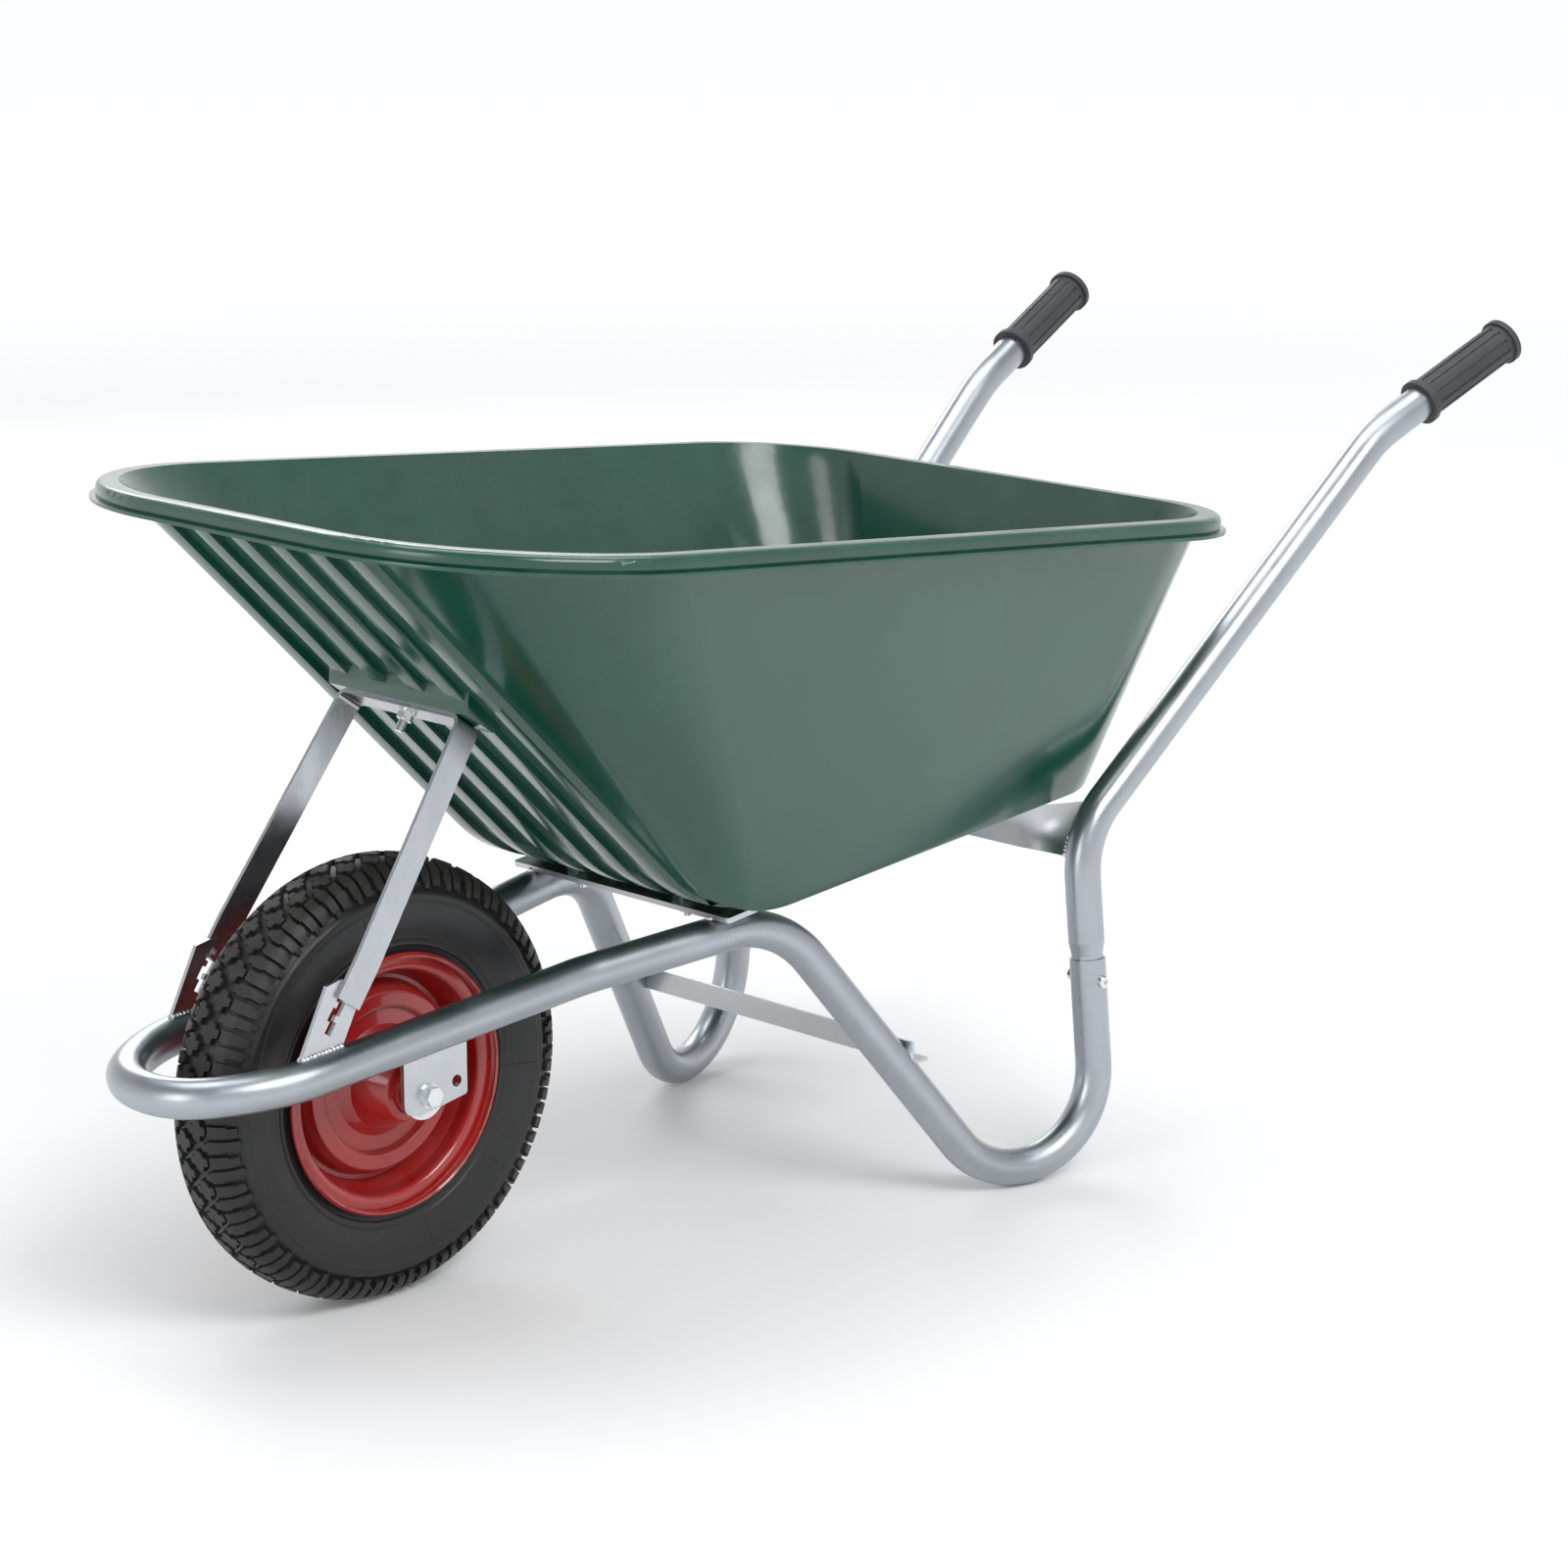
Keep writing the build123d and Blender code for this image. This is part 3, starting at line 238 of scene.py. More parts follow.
zinc_tube = zinc_material("Zinc tube", (0.40, 0.43, 0.46), 0.30, (0.35, 1.0, 0.35), 0.02, 0.35)
zinc_plate = zinc_material("Zinc plate", (0.52, 0.54, 0.56), 0.26, (1.0, 0.2, 1.0), 0.0, 0.5)
zinc_strip = zinc_material("Zinc strip", (0.46, 0.48, 0.51), 0.24, (1.0, 1.0, 0.3), 0.02, 0.6)
bright_zinc = zinc_material("Bright zinc", (0.74, 0.76, 0.78), 0.20, (1.0, 1.0, 1.0), -0.05, 0.2)
ground_steel = zinc_material("Ground steel", (0.55, 0.56, 0.57), 0.18, (1.0, 6.0, 1.0), -0.1, 0.1)

# %% [markdown]
# ## Moulded green plastic
# The tray is one thick moulding with a satin shine. The skin has a slight orange peel, long soft
# flow streaks, rubbed pale edges and dusty patches inside where loads have slid.

# %% Moulded green plastic
def tray_material():
    material, tree, shader = start_material("Tray green", coat=0.35, coat_rough=0.12, specular=0.6)
    grain = use_group(tree, fine_grain, Size=520.0, Strength=0.35)
    flow = add(tree, "ShaderNodeTexNoise", None, Vector=object_place(tree, (1.0, 1.0, 0.25)),
               Scale=16.0, Detail=5.0, Roughness=0.6).outputs["Fac"]
    scratch = add(tree, "ShaderNodeTexNoise", None,
                  Vector=object_place(tree, (0.6, 0.6, 14.0), (0.3, 0.5, 0.2)),
                  Scale=22.0, Detail=8.0, Roughness=0.72).outputs["Fac"]
    lines = spread(tree, scratch, 0.66, 0.72)
    dust = use_group(tree, settled_dust, Amount=0.16, Patch_size=9.0)
    wear = use_group(tree, edge_wear, Width=0.003, Patch_size=45.0, Amount=0.35)
    deep = mix_colour(tree, spread(tree, flow, 0.3, 0.7), (0.0012, 0.046, 0.029),
                      (0.0022, 0.060, 0.038))
    scratched = mix_colour(tree, math_node(tree, "MULTIPLY", lines, 0.25), deep,
                           (0.03, 0.12, 0.09))
    rubbed = mix_colour(tree, wear.outputs["Mask"], scratched, (0.05, 0.16, 0.12))
    colour = mix_colour(tree, dust.outputs["Mask"], rubbed, (0.16, 0.19, 0.17))
    smooth = spread(tree, grain.outputs["Tone"], 0.35, 0.7, 0.17, 0.27)
    roughness = math_node(tree, "ADD", smooth,
                          math_node(tree, "MULTIPLY", dust.outputs["Mask"], 0.8), True)
    height = math_node(tree, "ADD", grain.outputs["Height"], math_node(tree, "MULTIPLY", flow, 0.5))
    finish_skin(tree, shader, colour, roughness, height, 0.00025)
    return material


tray_green = tray_material()

# %% [markdown]
# ## Red gloss paint
# The wheel centre is dipped in red gloss. It has a clear wet shine, some dust in the dish and a
# pale rub along the flange, where tyre levers touch it.

# %% Red gloss paint
def red_material():
    material, tree, shader = start_material("Wheel red", coat=0.7, coat_rough=0.06)
    grain = use_group(tree, fine_grain, Size=300.0, Strength=0.3)
    dust = use_group(tree, settled_dust, Amount=0.22, Patch_size=30.0)
    wear = use_group(tree, edge_wear, Width=0.0015, Patch_size=120.0, Amount=0.5)
    paint = mix_colour(tree, spread(tree, grain.outputs["Tone"], 0.35, 0.65),
                       (0.27, 0.004, 0.004), (0.36, 0.008, 0.007))
    dusty = mix_colour(tree, dust.outputs["Mask"], paint, (0.42, 0.16, 0.14))
    colour = mix_colour(tree, wear.outputs["Mask"], dusty, (0.62, 0.22, 0.20))
    roughness = spread(tree, grain.outputs["Tone"], 0.3, 0.7, 0.22, 0.34)
    finish_skin(tree, shader, colour, roughness, grain.outputs["Height"], 0.0003)
    return material


wheel_red = red_material()

# %% [markdown]
# ## Rubber and small black plastic
# Tyre rubber is nearly black with a brownish dust on the tread. The grips are a softer, slightly
# shinier black. Both use the same recipe with their own depth of grain and dust.

# %% Rubber and black plastic
def black_material(name, dark, light, rough, size, depth, dust_amount, dust_colour):
    material, tree, shader = start_material(name, specular=0.4)
    grain = use_group(tree, fine_grain, Size=size, Strength=1.0)
    dust = use_group(tree, settled_dust, Amount=dust_amount, Patch_size=40.0)
    wear = use_group(tree, edge_wear, Width=0.0012, Patch_size=130.0, Amount=0.45)
    scuffed = add(tree, "ShaderNodeTexNoise", None, Vector=object_place(tree), Scale=70.0,
                  Detail=8.0, Roughness=0.75).outputs["Fac"]
    tone = mix_colour(tree, spread(tree, grain.outputs["Tone"], 0.3, 0.7), dark, light)
    scuffs = math_node(tree, "MULTIPLY", spread(tree, scuffed, 0.55, 0.75), dust_amount)
    marked = mix_colour(tree, scuffs, tone, dust_colour)
    dusty = mix_colour(tree, dust.outputs["Mask"], marked, dust_colour)
    colour = mix_colour(tree, wear.outputs["Mask"], dusty, tuple(c * 3.2 for c in light))
    roughness = spread(tree, scuffed, 0.3, 0.7, rough - 0.08, rough + 0.12)
    finish_skin(tree, shader, colour, roughness, grain.outputs["Height"], depth)
    return material


side_rubber = black_material("Tyre side", (0.010, 0.010, 0.011), (0.018, 0.018, 0.019),
                             0.38, 700.0, 0.0002, 0.10, (0.07, 0.065, 0.055))
tread_rubber = black_material("Tyre tread", (0.010, 0.010, 0.011), (0.019, 0.018, 0.018),
                              0.46, 500.0, 0.0005, 0.35, (0.10, 0.09, 0.072))
grip_rubber = black_material("Grip rubber", (0.030, 0.031, 0.035), (0.046, 0.047, 0.052),
                             0.50, 1100.0, 0.0004, 0.12, (0.10, 0.10, 0.10))
black_plastic = black_material("Black plastic", (0.020, 0.020, 0.022), (0.032, 0.032, 0.034),
                               0.38, 900.0, 0.0002, 0.15, (0.09, 0.085, 0.075))

# %% [markdown]
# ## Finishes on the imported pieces
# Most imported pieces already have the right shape, so they only need a finish. It could be set piece
# by piece, but a short list of finishes and the pieces that share them is easier to check.

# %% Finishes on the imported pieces
FINISHES = [
    (zinc_tube, ["front_loop", "leg_tube_left", "leg_tube_right", "handle_tube_left",
                 "handle_tube_right"]),
    (zinc_plate, ["front_cross_plate", "rear_cross_plate", "leg_brace", "lug_plate_left",
                  "lug_plate_right", "axle_bracket_left", "axle_bracket_right"]),
    (zinc_strip, ["tray_strut"]),
    (tray_green, ["tray"]),
    (wheel_red, ["rim_left", "rim_right", "hub_tube"]),
    (side_rubber, ["tyre", "inner_tube", "valve_stem"]),
    (grip_rubber, ["grip_left", "grip_right"]),
    (black_plastic, ["valve_cap"]),
    (ground_steel, ["bearing_left", "bearing_right", "axle_sleeve"]),
    (bright_zinc, ["hub_collar_left", "hub_collar_right", "axle_bolt", "axle_nut",
                   "axle_washer_left", "axle_washer_right",
                   "tray_bolts", "tray_nuts", "tray_washers", "strut_bolt", "strut_washer",
                   "strut_nut", "joint_screw_left", "joint_screw_right"]),
]
for material, names in FINISHES:
    for name in names:
        NODES[name].data.materials.clear()
        NODES[name].data.materials.append(material)
finished = sum(len(names) for material, names in FINISHES)
print("finished nodes", finished, "of", len(NODES))

# %% [markdown]
# ## Mesh helpers
# A finer piece is a plain mesh with its place in its points and its object at the origin, just like
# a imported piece. Sharp edges are marked by angle, so that round stretches shade smoothly and real
# corners stay crisp.

# %% Mesh helpers
SHARP = math.radians(38)


def as_piece(name, mesh, material, body, replaced=()):
    mesh.materials.clear()
    mesh.materials.append(material)
    for face in mesh.polygons:
        face.use_smooth = True
    mesh.set_sharp_from_angle(angle=SHARP)
    piece = bpy.data.objects.new(name, mesh)
    bpy.context.scene.collection.objects.link(piece)
    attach(piece, body)
    if replaced:
        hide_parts(*replaced)
    print(name, len(mesh.polygons), "faces")
    return piece


def mesh_from(name, points, faces):
    mesh = bpy.data.meshes.new(name)
    mesh.from_pydata(points, [], faces)
    shape = bmesh.new()
    shape.from_mesh(mesh)
    bmesh.ops.remove_doubles(shape, verts=shape.verts, dist=1e-6)
    bmesh.ops.recalc_face_normals(shape, faces=shape.faces)
    shape.to_mesh(mesh)
    shape.free()
    return mesh


def smooth_line(points, steps):
    """A Catmull-Rom curve through the points."""
    padded = [points[0]] + list(points) + [points[-1]]
    line = []
    for a, b, c, d in zip(padded, padded[1:], padded[2:], padded[3:]):
        for i in range(steps):
            t = i / steps
            line.append(tuple(
                0.5 * (2 * q + (r - p) * t + (2 * p - 5 * q + 4 * r - s) * t * t
                       + (3 * q - p - 3 * r + s) * t ** 3)
                for p, q, r, s in zip(a, b, c, d)))
    return line + [tuple(points[-1])]


def on_wheel(y, radius, angle):
    """Point of the wheel at a width y, a radius and an angle from straight up, from the axle."""
    return Vector((radius * math.sin(angle), y, radius * math.cos(angle)))


# %% [markdown]
# ## Geometry Nodes: copies round an axle
# The tread repeats the same few blocks all the way round. One pitch of it is modelled from listed
# rows, and a small tree turns copies of that pitch about the axle. Its count and phase are named
# inputs, so the same tree also lays the mould lines on the side walls. An Array modifier with an
# empty could do it too, but it needs a second object, and the tree takes its count as a plain number.

# %% The tree that turns copies round an axle
def tree_group(name, sockets):
    group = bpy.data.node_groups.new(name, "GeometryNodeTree")
    group.interface.new_socket("Geometry", in_out="OUTPUT", socket_type="NodeSocketGeometry")
    for label, kind in sockets.items():
        group.interface.new_socket(label, in_out="INPUT", socket_type="NodeSocket" + kind)
    return group, group.nodes.new("NodeGroupInput").outputs, group.nodes.new("NodeGroupOutput")


round_axle, given, result = tree_group("Copies round an axle", {
    "Pattern": "Object", "Count": "Int", "Phase": "Float", "Axle": "Vector",
    "Material": "Material"})
dots = add(round_axle, "GeometryNodeMeshLine", None, Count=given["Count"], Offset=(0.0, 0.0, 0.0))
pattern = add(round_axle, "GeometryNodeObjectInfo", None, Object=given["Pattern"], As_Instance=True)
index = add(round_axle, "GeometryNodeInputIndex").outputs[0]
step = math_node(round_axle, "DIVIDE", 2 * math.pi, given["Count"])
turned = math_node(round_axle, "MULTIPLY",
                   math_node(round_axle, "ADD", index, given["Phase"]), step)
turn = add(round_axle, "ShaderNodeCombineXYZ", None, Y=turned).outputs[0]
copies = add(round_axle, "GeometryNodeInstanceOnPoints", None, Points=dots.outputs["Mesh"],
             Instance=pattern.outputs["Geometry"], Rotation=turn)
real = add(round_axle, "GeometryNodeRealizeInstances", None, Geometry=copies.outputs[0])
placed = add(round_axle, "GeometryNodeTransform", None, Geometry=real.outputs[0],
             Translation=given["Axle"])
painted = add(round_axle, "GeometryNodeSetMaterial", None, Geometry=placed.outputs[0],
              Material=given["Material"])
round_axle.links.new(painted.outputs[0], result.inputs[0])


def run_tree(name, group, carrier, **values):
    """Runs a tree on a carrier object and returns the result as a plain mesh."""
    holder = bpy.data.objects.new(name + "_carrier", carrier)
    bpy.context.scene.collection.objects.link(holder)
    modifier = holder.modifiers.new("build", "NODES")
    modifier.node_group = group
    for item in group.interface.items_tree:
        key = item.name.replace(" ", "_")
        if item.in_out == "INPUT" and key in values:
            modifier[item.identifier] = values[key]
    shown = bpy.context.evaluated_depsgraph_get()
    mesh = bpy.data.meshes.new_from_object(holder.evaluated_get(shown))
    mesh.name = name
    holder.modifiers.remove(modifier)
    bpy.data.objects.remove(holder)
    return mesh


def round_the_axle(name, pattern_mesh, count, phase, material):
    source = bpy.data.objects.new(name + "_pattern", pattern_mesh)
    bpy.context.scene.collection.objects.link(source)
    mesh = run_tree(name, round_axle, bpy.data.meshes.new(name + "_seed"), Pattern=source,
                    Count=count, Phase=phase, Axle=tuple(AXLE), Material=material)
    bpy.data.objects.remove(source)
    return mesh


# %% [markdown]
# ## The tyre
# A small block tyre has a round carcass, a raised shoulder line and smooth side walls with thin
# rings. The carcass is one profile turned about the axle. Its tread area lies a groove's depth
# below the tyre's outside, so that the blocks can stand on it and reach the true radius. A torus
# primitive is quicker, but its section is a circle, and a tyre's isn't.

# %% Tyre carcass
GROOVE = 4.6 * MM          # depth of the tread
TREAD_END = 169.0 * MM     # radius where the tread area begins to lie lower
TREAD_BLEND = 9.0 * MM
RING_WIDTH = 0.9           # of a raised ring on the side wall, millimetres
CARCASS_SEGMENTS = 240
TREAD_TOP = [(0.0, 199.6), (10.0, 199.1), (20.0, 197.2), (28.0, 193.2), (34.0, 187.0),
             (37.6, 180.0), (39.3, 172.5), (40.0, 165.0)]
SIDE_WALL = [(40.1, 158.0), (39.3, 146.0), (36.4, 134.0), (32.6, 124.0), (30.6, 117.0),
             (30.0, 108.0), (29.2, 103.4)]
RING_BUMPS = [(169.5, 0.9), (163.5, 0.5), (131.0, 0.6), (125.0, 1.0)]
tread_line = [(y * MM, r * MM) for y, r in smooth_line(TREAD_TOP, 8)]
side_line = [(y * MM, r * MM) for y, r in smooth_line([TREAD_TOP[-1]] + SIDE_WALL, 10)]


def line_normal(line, i):
    before, after = line[max(i - 1, 0)], line[min(i + 1, len(line) - 1)]
    along = Vector((after[0] - before[0], after[1] - before[1])).normalized()
    return Vector((-along.y, along.x))


def carcass_profile():
    """Half the section as (y, r), from the middle of the tread to the bead."""
    half = []
    for i, (y, r) in enumerate(tread_line):
        share = min(1.0, max(0.0, (r - TREAD_END) / TREAD_BLEND))
        sunk = GROOVE * share * share * (3 - 2 * share)
        normal = line_normal(tread_line, i)
        half.append((y - normal.x * sunk, r - normal.y * sunk))
    for i, (y, r) in enumerate(side_line[1:], 1):
        normal = line_normal(side_line, i)
        lift = sum(h * MM * math.exp(-((r / MM - at) / RING_WIDTH) ** 2) for at, h in RING_BUMPS)
        half.append((y + normal.x * lift, r + normal.y * lift))
    return half


def turned_about_axle(name, profile, segments):
    points, faces = [], []
    count = len(profile)
    for j in range(segments):
        angle = 2 * math.pi * j / segments
        points += [AXLE + on_wheel(y, r, angle) for y, r in profile]
    for j in range(segments):
        k = (j + 1) % segments
        for i in range(count):
            n = (i + 1) % count
            faces.append((j * count + i, j * count + n, k * count + n, k * count + i))
    return mesh_from(name, points, faces)


right_half = carcass_profile()
closed = right_half[::-1] + [(-y, r) for y, r in right_half[1:]]
as_piece("tyre_carcass", turned_about_axle("tyre_carcass", closed, CARCASS_SEGMENTS),
         side_rubber, "wheel", ["tyre"])

# %% [markdown]
# ## Tread blocks
# Each pitch of the tread holds one cross-shaped block on each side of the middle, half a pitch
# apart so that they lock together, and two bars a side that run over the shoulder. A block is a
# stack of rows across the tyre, each with a left and a right edge, laid on the tread line. A bump
# could fake them, but real blocks give the tyre its notched outline.

# %% Tread blocks
PITCHES = 44
PITCH = 2 * math.pi * WHEEL_R / PITCHES
ROW_STEP = 5.0             # longest stretch of a block across the tyre, millimetres
FLARE = 0.7                # a block is wider at its foot by this much a side
FOOT_DEPTH = 1.2           # its foot, in groove depths, so that it sinks into the carcass
lengths = [0.0]
for a, b in zip(tread_line, tread_line[1:]):
    lengths.append(lengths[-1] + math.dist(a, b))


def tread_point(across, along, depth):
    """Point at a distance across from the middle line, along the tread and below its top."""
    side = -1 if across < 0 else 1
    t = min(abs(across), lengths[-1] - 1e-6)
    i = max(k for k, length in enumerate(lengths[:-1]) if length <= t)
    share = (t - lengths[i]) / (lengths[i + 1] - lengths[i])
    normal = line_normal(tread_line, i)
    y = tread_line[i][0] + (tread_line[i + 1][0] - tread_line[i][0]) * share - normal.x * depth
    r = tread_line[i][1] + (tread_line[i + 1][1] - tread_line[i][1]) * share - normal.y * depth
    return on_wheel(side * y, r, along / WHEEL_R)


def block(rows, along, across, turn=1):
    """A raised block from rows of (across, left, right), in millimetres."""
    fine = []
    for (t0, l0, r0), (t1, l1, r1) in zip(rows, rows[1:]):
        parts = max(1, round(abs(t1 - t0) / ROW_STEP))
        fine += [(t0 + (t1 - t0) * i / parts, l0 + (l1 - l0) * i / parts,
                  r0 + (r1 - r0) * i / parts) for i in range(parts)]
    fine.append(rows[-1])
    points, faces = [], []
    last = len(fine) - 1
    for i, (t, left, right) in enumerate(fine):
        end = -FLARE if i == 0 else FLARE if i == last else 0.0
        for s, drop, out in ((left, 1, -1), (left, 0, 0), (right, 0, 0), (right, 1, 1)):
            place = across + turn * (t + end * drop)
            points.append(tread_point(place * MM, along + turn * (s + out * FLARE) * MM,
                                      drop * GROOVE * FOOT_DEPTH))
    for i in range(last):
        a, b = 4 * i, 4 * (i + 1)
        for k in range(4):
            faces.append((a + k, a + (k + 1) % 4, b + (k + 1) % 4, b + k))
    faces += [(0, 1, 2, 3), tuple(4 * last + k for k in (3, 2, 1, 0))]
    return points, faces


CROSS = [(-9.6, -2.4, 2.4), (-8.4, -3.9, 3.9), (-4.7, -3.9, 3.9), (-4.1, -6.4, 6.4),
         (-3.6, -9.6, 8.0), (0.0, -9.8, 9.8), (3.6, -8.0, 9.6), (4.1, -6.4, 6.4),
         (4.7, -3.9, 3.9), (8.4, -3.9, 3.9), (9.6, -2.4, 2.4)]
LONG_BAR = [(15.2, -1.8, 1.8), (17.0, -3.6, 3.6), (20.6, -3.6, 3.6), (21.2, -5.6, 5.2),
            (31.0, -5.6, 5.2), (31.6, -5.6, 3.6), (45.0, -5.0, 3.6), (45.6, -5.0, 1.0),
            (51.0, -4.6, 1.0)]
SHORT_BAR = [(21.6, -5.2, 4.0), (27.0, -5.2, 5.4), (38.0, -5.2, 5.4), (38.6, -3.6, 5.4),
             (48.0, -3.4, 5.0)]


def joined(name, parts):
    points, faces = [], []
    for some_points, some_faces in parts:
        base = len(points)
        points += some_points
        faces += [tuple(base + i for i in face) for face in some_faces]
    return mesh_from(name, points, faces)


one_pitch = joined("one_pitch", [
    block(CROSS, 0.0, 9.4), block(CROSS, PITCH / 2, -9.4),
    block(LONG_BAR, PITCH / 2, 0.0), block(SHORT_BAR, 0.0, 0.0),
    block(LONG_BAR, 0.0, 0.0, -1), block(SHORT_BAR, PITCH / 2, 0.0, -1),
])
as_piece("tread_blocks", round_the_axle("tread_blocks", one_pitch, PITCHES, 0.0, tread_rubber),
         tread_rubber, "wheel")

# %% [markdown]
# ## Mould lines
# A moulded tyre shows fine raised lines across its side walls where the sections of the mould
# met. They are the same copies round the axle, only fewer.

# %% Mould lines
MOULD_LINES = 10
MOULD_PHASE = 0.35
LINE_STOP = 127.0 * MM     # a line ends above the rim
LINE_FOOT = 0.4            # depth of its foot and height of its crest, millimetres
LINE_CREST = 0.45
LINE_HALF = 0.7


def side_strip(side):
    """A thin raised line down the side wall, from the shoulder to above the rim."""
    points, faces = [], []
    kept = [i for i in range(2, len(side_line) - 2) if side_line[i][1] > LINE_STOP]
    for i in kept:
        y, r = side_line[i]
        normal = line_normal(side_line, i)
        for half, lift in ((-LINE_HALF, -LINE_FOOT), (0.0, LINE_CREST), (LINE_HALF, -LINE_FOOT)):
            out = lift * MM
            points.append(on_wheel(side * (y + normal.x * out), r + normal.y * out,
                                   half * MM / r))
    for i in range(len(kept) - 1):
        a, b = 3 * i, 3 * (i + 1)
        faces += [(a + k, a + (k + 1) % 3, b + (k + 1) % 3, b + k) for k in range(3)]
    end = 3 * (len(kept) - 1)
    return points, faces + [(0, 1, 2), (end + 2, end + 1, end)]


strips = joined("side_strips", [side_strip(1), side_strip(-1)])
as_piece("mould_lines", round_the_axle("mould_lines", strips, MOULD_LINES, MOULD_PHASE, side_rubber),
         side_rubber, "wheel")

# %% [markdown]
# ## Weld beads
# Every plate is welded to its tube. The bead follows the line where the plate's cut edge meets the
# tube, so that line is found first: it is where points of the plate lie on the tube's skin. A tree
# then sweeps an uneven, rippled bead along it.

# %% The tree for a weld bead
BEAD_STEP = 1.1 * MM
BEAD_SIDES = 10
RIPPLE = 1.3 * MM
weld_bead, given, result = tree_group("Weld bead", {
    "Seam": "Object", "Radius": "Float", "Ripple": "Float", "Seed": "Float",
    "Material": "Material"})
seam_line = add(weld_bead, "GeometryNodeObjectInfo", None, Object=given["Seam"])
path = add(weld_bead, "GeometryNodeMeshToCurve", None, Mesh=seam_line.outputs["Geometry"])
even = add(weld_bead, "GeometryNodeResampleCurve", None, Curve=path.outputs[0])
even.mode = "LENGTH"
even.inputs["Length"].default_value = BEAD_STEP
spline = add(weld_bead, "GeometryNodeSplineParameter").outputs["Length"]
phase = math_node(weld_bead, "DIVIDE", spline, given["Ripple"])
ripple = math_node(weld_bead, "ABSOLUTE", math_node(weld_bead, "SINE", phase))
lumps = add(weld_bead, "ShaderNodeTexNoise", {"noise_dimensions": "4D"}, Scale=160.0, Detail=2.0,
            W=given["Seed"]).outputs["Fac"]
swell = math_node(weld_bead, "ADD", math_node(weld_bead, "MULTIPLY", ripple, 0.35),
                  math_node(weld_bead, "MULTIPLY", lumps, 1.1))
ring = add(weld_bead, "GeometryNodeCurvePrimitiveCircle", None, Resolution=BEAD_SIDES,
           Radius=given["Radius"])
scale = math_node(weld_bead, "ADD", 0.25, swell)
tube = add(weld_bead, "GeometryNodeCurveToMesh", None, Curve=even.outputs[0],
           Profile_Curve=ring.outputs[0], Scale=scale, Fill_Caps=True)
real = add(weld_bead, "GeometryNodeRealizeInstances", None, Geometry=tube.outputs[0])
painted = add(weld_bead, "GeometryNodeSetMaterial", None, Geometry=real.outputs[0],
              Material=given["Material"])
weld_bead.links.new(painted.outputs[0], result.inputs[0])

# %% Finding the seams
SKIN = 0.45 * MM           # a point this near counts as lying on the tube
POINT_GAP = 2.5 * MM
NARROW_BAND = 1.5 * MM
WIDE_BAND = 12.0 * MM


def skin_of(name):
    mesh = NODES[name].data
    return BVHTree.FromPolygons([v.co for v in mesh.vertices],
                                [tuple(f.vertices) for f in mesh.polygons])


def seam(plate, tube, outward, along, band):
    """Points of the plate on the tube's skin, within a band on its outward side, in order."""
    tree = skin_of(tube)
    found = [v.co.copy() for v in NODES[plate].data.vertices
             if (tree.find_nearest(v.co)[3] or 1.0) < SKIN]
    if not found:
        return []
    outward, along = Vector(outward), Vector(along)
    edge = max(p.dot(outward) for p in found)
    kept = sorted((p for p in found if p.dot(outward) > edge - band),
                  key=lambda p: p.dot(along))
    line = kept[:1]
    for p in kept[1:]:
        if (p - line[-1]).length > POINT_GAP:
            line.append(p)
    return line


def bead_mesh(name, line, radius, seed, material):
    edges = [(i, i + 1) for i in range(len(line) - 1)]
    mesh = bpy.data.meshes.new(name + "_seam")
    mesh.from_pydata(line, edges, [])
    source = bpy.data.objects.new(name + "_seam", mesh)
    bpy.context.scene.collection.objects.link(source)
    bead = run_tree(name, weld_bead, bpy.data.meshes.new(name + "_seed"), Seam=source,
                    Radius=radius, Ripple=RIPPLE, Seed=seed, Material=material)
    bpy.data.objects.remove(source)
    return bead


# %% Laying the beads
weld_metal = zinc_material("Weld metal", (0.70, 0.71, 0.72), 0.30, (1.0, 1.0, 1.0), 0.04, 0.3)
SEAMS = []
for side, hand in ((1, "left"), (-1, "right")):
    for face in (1, -1):
        SEAMS.append((f"lug_weld_{hand}_{face + 1}", f"lug_plate_{hand}", "front_loop",
                      (0, face, 0), (1, 0, 0), 2.6))
        SEAMS.append((f"bracket_weld_{hand}_{face + 1}", f"axle_bracket_{hand}", "front_loop",
                      (0, face, 0), (1, 0, 0), 2.2))
    SEAMS.append((f"front_plate_weld_{hand}", "front_cross_plate", "front_loop",
                  (0, side, 0), (1, 0, 0), 3.0))
    for face in (1, -1):
        SEAMS.append((f"rear_plate_weld_{hand}_{face + 1}", "rear_cross_plate",
                      f"handle_tube_{hand}", (face * 0.8, side * 0.1, face * 0.6),
                      (-0.6, 0, 0.8), 2.6))
    SEAMS.append((f"brace_weld_{hand}", "leg_brace", f"leg_tube_{hand}", (0, 0, 1), (1, 0, 0), 2.2))
for number, (name, plate, tube, outward, along, radius) in enumerate(SEAMS):
    band = WIDE_BAND if plate == "front_cross_plate" else NARROW_BAND
    line = seam(plate, tube, outward, along, band)
    print(name, len(line), "points")
    if len(line) > 1:
        bead = bead_mesh(name, line, radius * MM, float(number), weld_metal)
        as_piece(name, bead, weld_metal, "frame")

# %% [markdown]
# ## The moulded tray
# A moulding has no sharp edge anywhere: ribs, pads and the rim are all rounded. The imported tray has
# the right shape with crisp edges, so a copy of it is merged into one skin and its edges are
# rounded with a small bevel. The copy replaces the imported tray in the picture.

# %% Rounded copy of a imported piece
SAME_PLACE = 0.02 * MM
FLAT = math.radians(0.6)


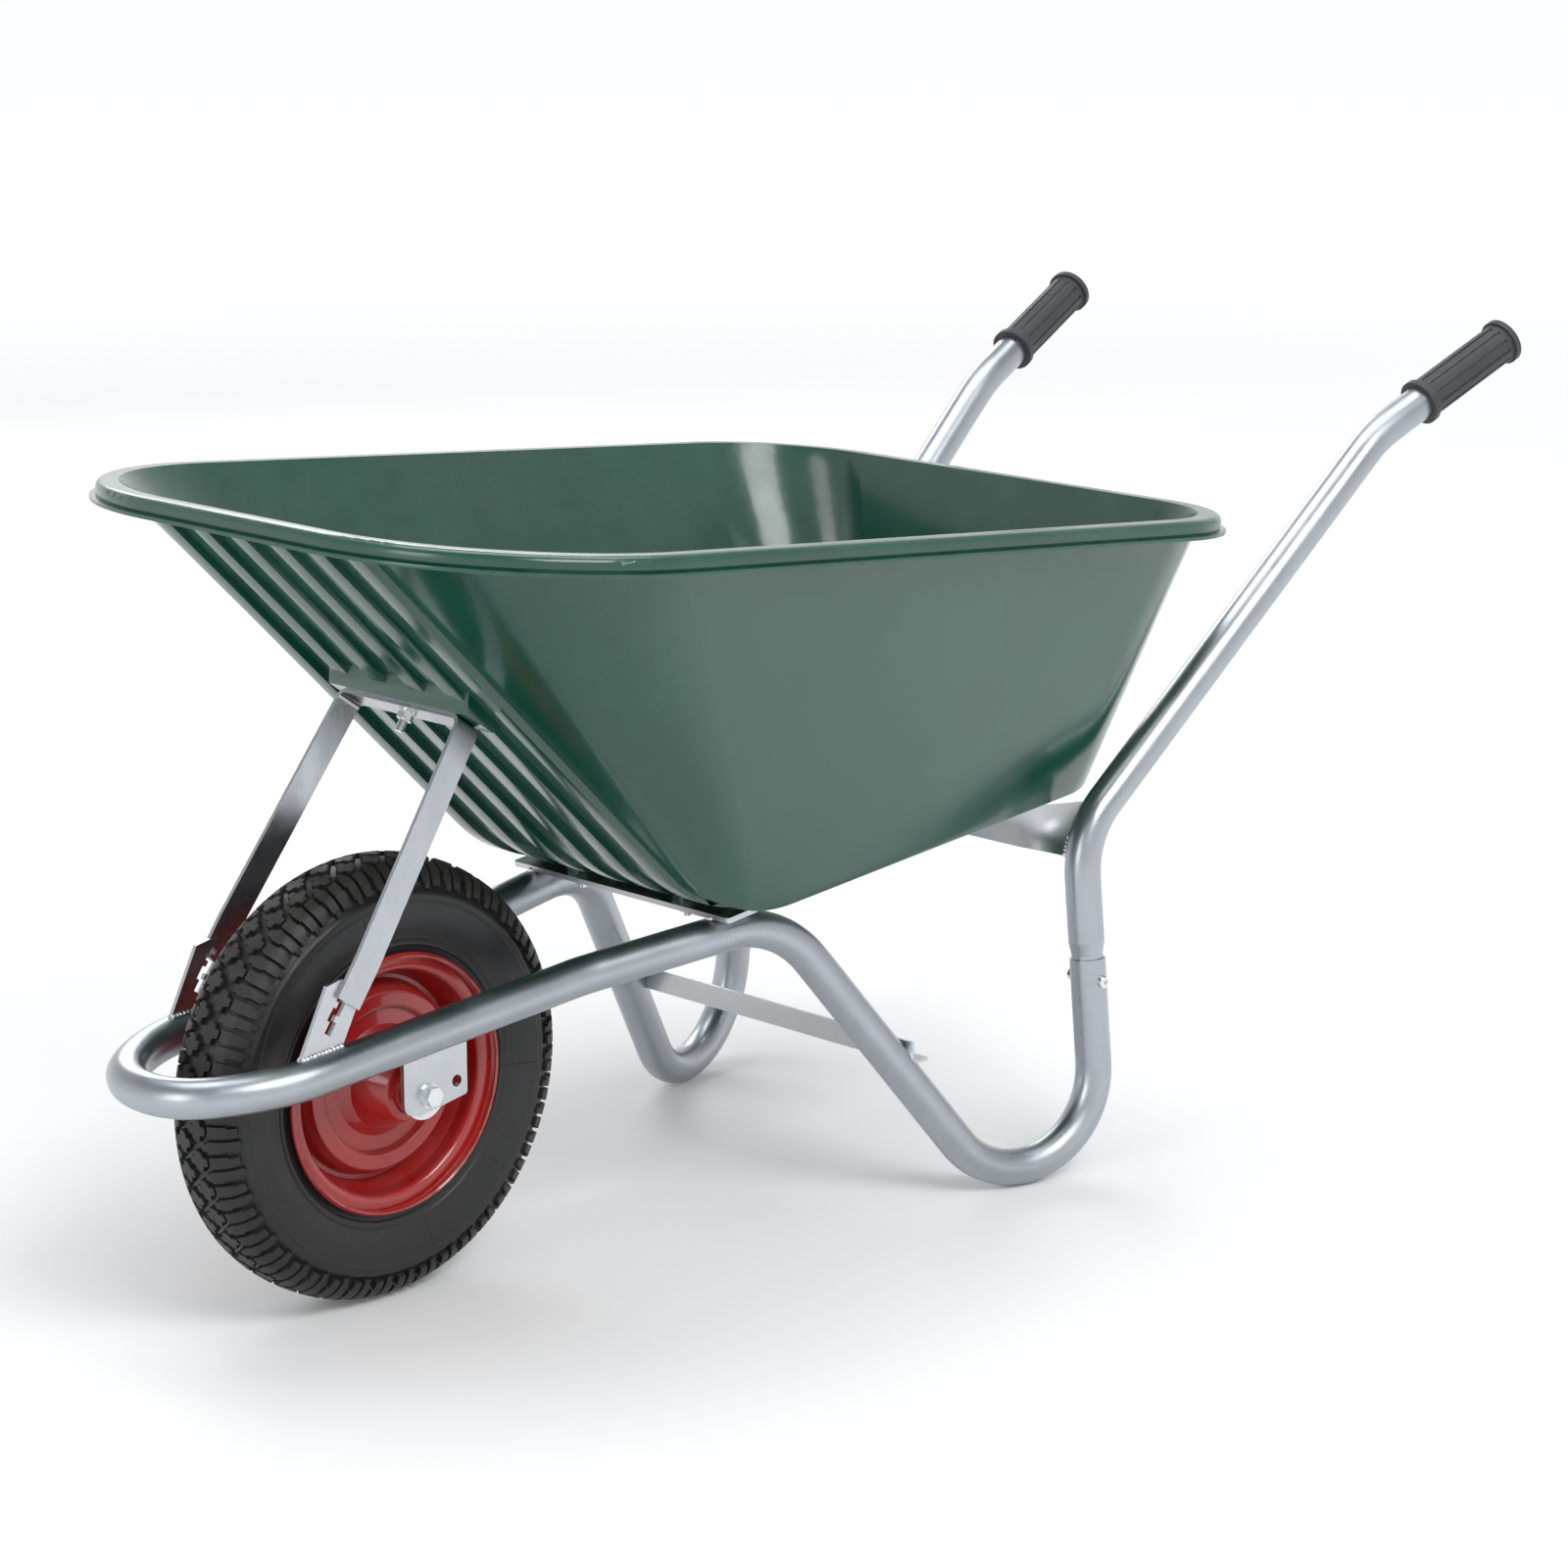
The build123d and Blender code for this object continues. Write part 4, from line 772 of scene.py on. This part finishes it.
def rounded_copy(name, node, material, body, radius, steps, limit):
    mesh = NODES[node].data.copy()
    mesh.name = name
    shape = bmesh.new()
    shape.from_mesh(mesh)
    bmesh.ops.remove_doubles(shape, verts=shape.verts, dist=SAME_PLACE)
    bmesh.ops.dissolve_limit(shape, angle_limit=FLAT, verts=shape.verts,
                             edges=shape.edges)
    shape.to_mesh(mesh)
    shape.free()
    piece = bpy.data.objects.new(name, mesh)
    bpy.context.scene.collection.objects.link(piece)
    modifier = piece.modifiers.new("rounding", "BEVEL")
    modifier.width = radius
    modifier.segments = steps
    modifier.limit_method = "ANGLE"
    modifier.angle_limit = math.radians(limit)
    modifier.harden_normals = False
    shown = bpy.context.evaluated_depsgraph_get()
    solid = bpy.data.meshes.new_from_object(piece.evaluated_get(shown))
    bpy.data.objects.remove(piece)
    return as_piece(name, solid, material, body, [node])


rounded_copy("tray_moulding", "tray", tray_green, "frame", 2.2 * MM, 3, 22.0)

# %% [markdown]
# ## Floor, light and camera
# A plain pale floor and big soft lamps keep the eye on the barrow. One lamp hangs high over the
# left shoulder of the camera and draws the long highlights on the tubes, one fills from the front
# of the wheel, and one from behind picks out the far rim. The sky is white at the horizon and
# darker overhead, so that round and glossy pieces show bands of light and shade.

# %% Floor
def floor_plane(half):
    mesh = bpy.data.meshes.new("studio_floor")
    corners = [(-half, -half, 0), (half, -half, 0), (half, half, 0), (-half, half, 0)]
    mesh.from_pydata(corners, [], [(0, 1, 2, 3)])
    floor = bpy.data.objects.new("studio_floor", mesh)
    bpy.context.scene.collection.objects.link(floor)
    material, tree, shader = start_material("Studio floor")
    shader.inputs["Base Color"].default_value = (0.86, 0.86, 0.86, 1.0)
    shader.inputs["Roughness"].default_value = 0.9
    shader.inputs["Emission Color"].default_value = (1.0, 1.0, 1.0, 1.0)
    away = add(tree, "ShaderNodeVectorMath", {"operation": "LENGTH"},
               in0=object_place(tree)).outputs["Value"]
    tree.links.new(spread(tree, away, 1.2, 7.0, 0.04, 0.55), shader.inputs["Emission Strength"])
    mesh.materials.append(material)


floor_plane(30.0)

# %% Lights and camera
def soft_lamp(name, place, target, size, power, colour=(1.0, 1.0, 1.0)):
    lamp = bpy.data.lights.new(name, "AREA")
    lamp.shape = "RECTANGLE"
    lamp.size, lamp.size_y = size
    lamp.energy = power
    lamp.color = colour
    holder = bpy.data.objects.new(name, lamp)
    holder.location = place
    aim = Vector(target) - Vector(place)
    holder.rotation_euler = aim.to_track_quat("-Z", "Y").to_euler()
    bpy.context.scene.collection.objects.link(holder)


soft_lamp("key", (0.6, 3.2, 3.4), (0.0, 0.0, 0.4), (2.6, 1.6), 95.0)
soft_lamp("top", (-0.2, -0.3, 4.0), (0.0, 0.0, 0.3), (4.0, 2.2), 90.0)
soft_lamp("wheel_fill", (4.2, 0.4, 1.6), (0.3, 0.0, 0.4), (1.4, 1.8), 26.0)
soft_lamp("far_rim", (-1.8, -3.4, 2.4), (0.0, 0.0, 0.5), (2.4, 1.4), 40.0)

world = bpy.data.worlds.new("Studio")
world.use_nodes = True
sky = world.node_tree
height = add(sky, "ShaderNodeSeparateXYZ", None,
             Vector=add(sky, "ShaderNodeTexCoord").outputs["Generated"]).outputs["Z"]
fade = mix_colour(sky, spread(sky, height, 0.06, 0.75), (1.0, 1.0, 1.0), (0.36, 0.38, 0.40))
sky.links.new(fade, sky.nodes["Background"].inputs["Color"])
sky.nodes["Background"].inputs["Strength"].default_value = 1.0
bpy.context.scene.world = world
bpy.context.scene.view_settings.view_transform = "Standard"

LENS = 95.13
CAMERA_PLACE = Vector((2.74995, 2.68184, 1.33439))
CAMERA_TARGET = Vector((-0.0005, 0.00864, 0.37318))
camera_data = bpy.data.cameras.new("camera")
camera_data.sensor_width = 36.0
camera_data.lens = LENS
camera = bpy.data.objects.new("camera", camera_data)
camera.location = CAMERA_PLACE
camera.rotation_euler = (CAMERA_TARGET - CAMERA_PLACE).to_track_quat("-Z", "Y").to_euler()
bpy.context.scene.collection.objects.link(camera)
bpy.context.scene.camera = camera
print("camera distance", round((CAMERA_PLACE - CAMERA_TARGET).length, 3))
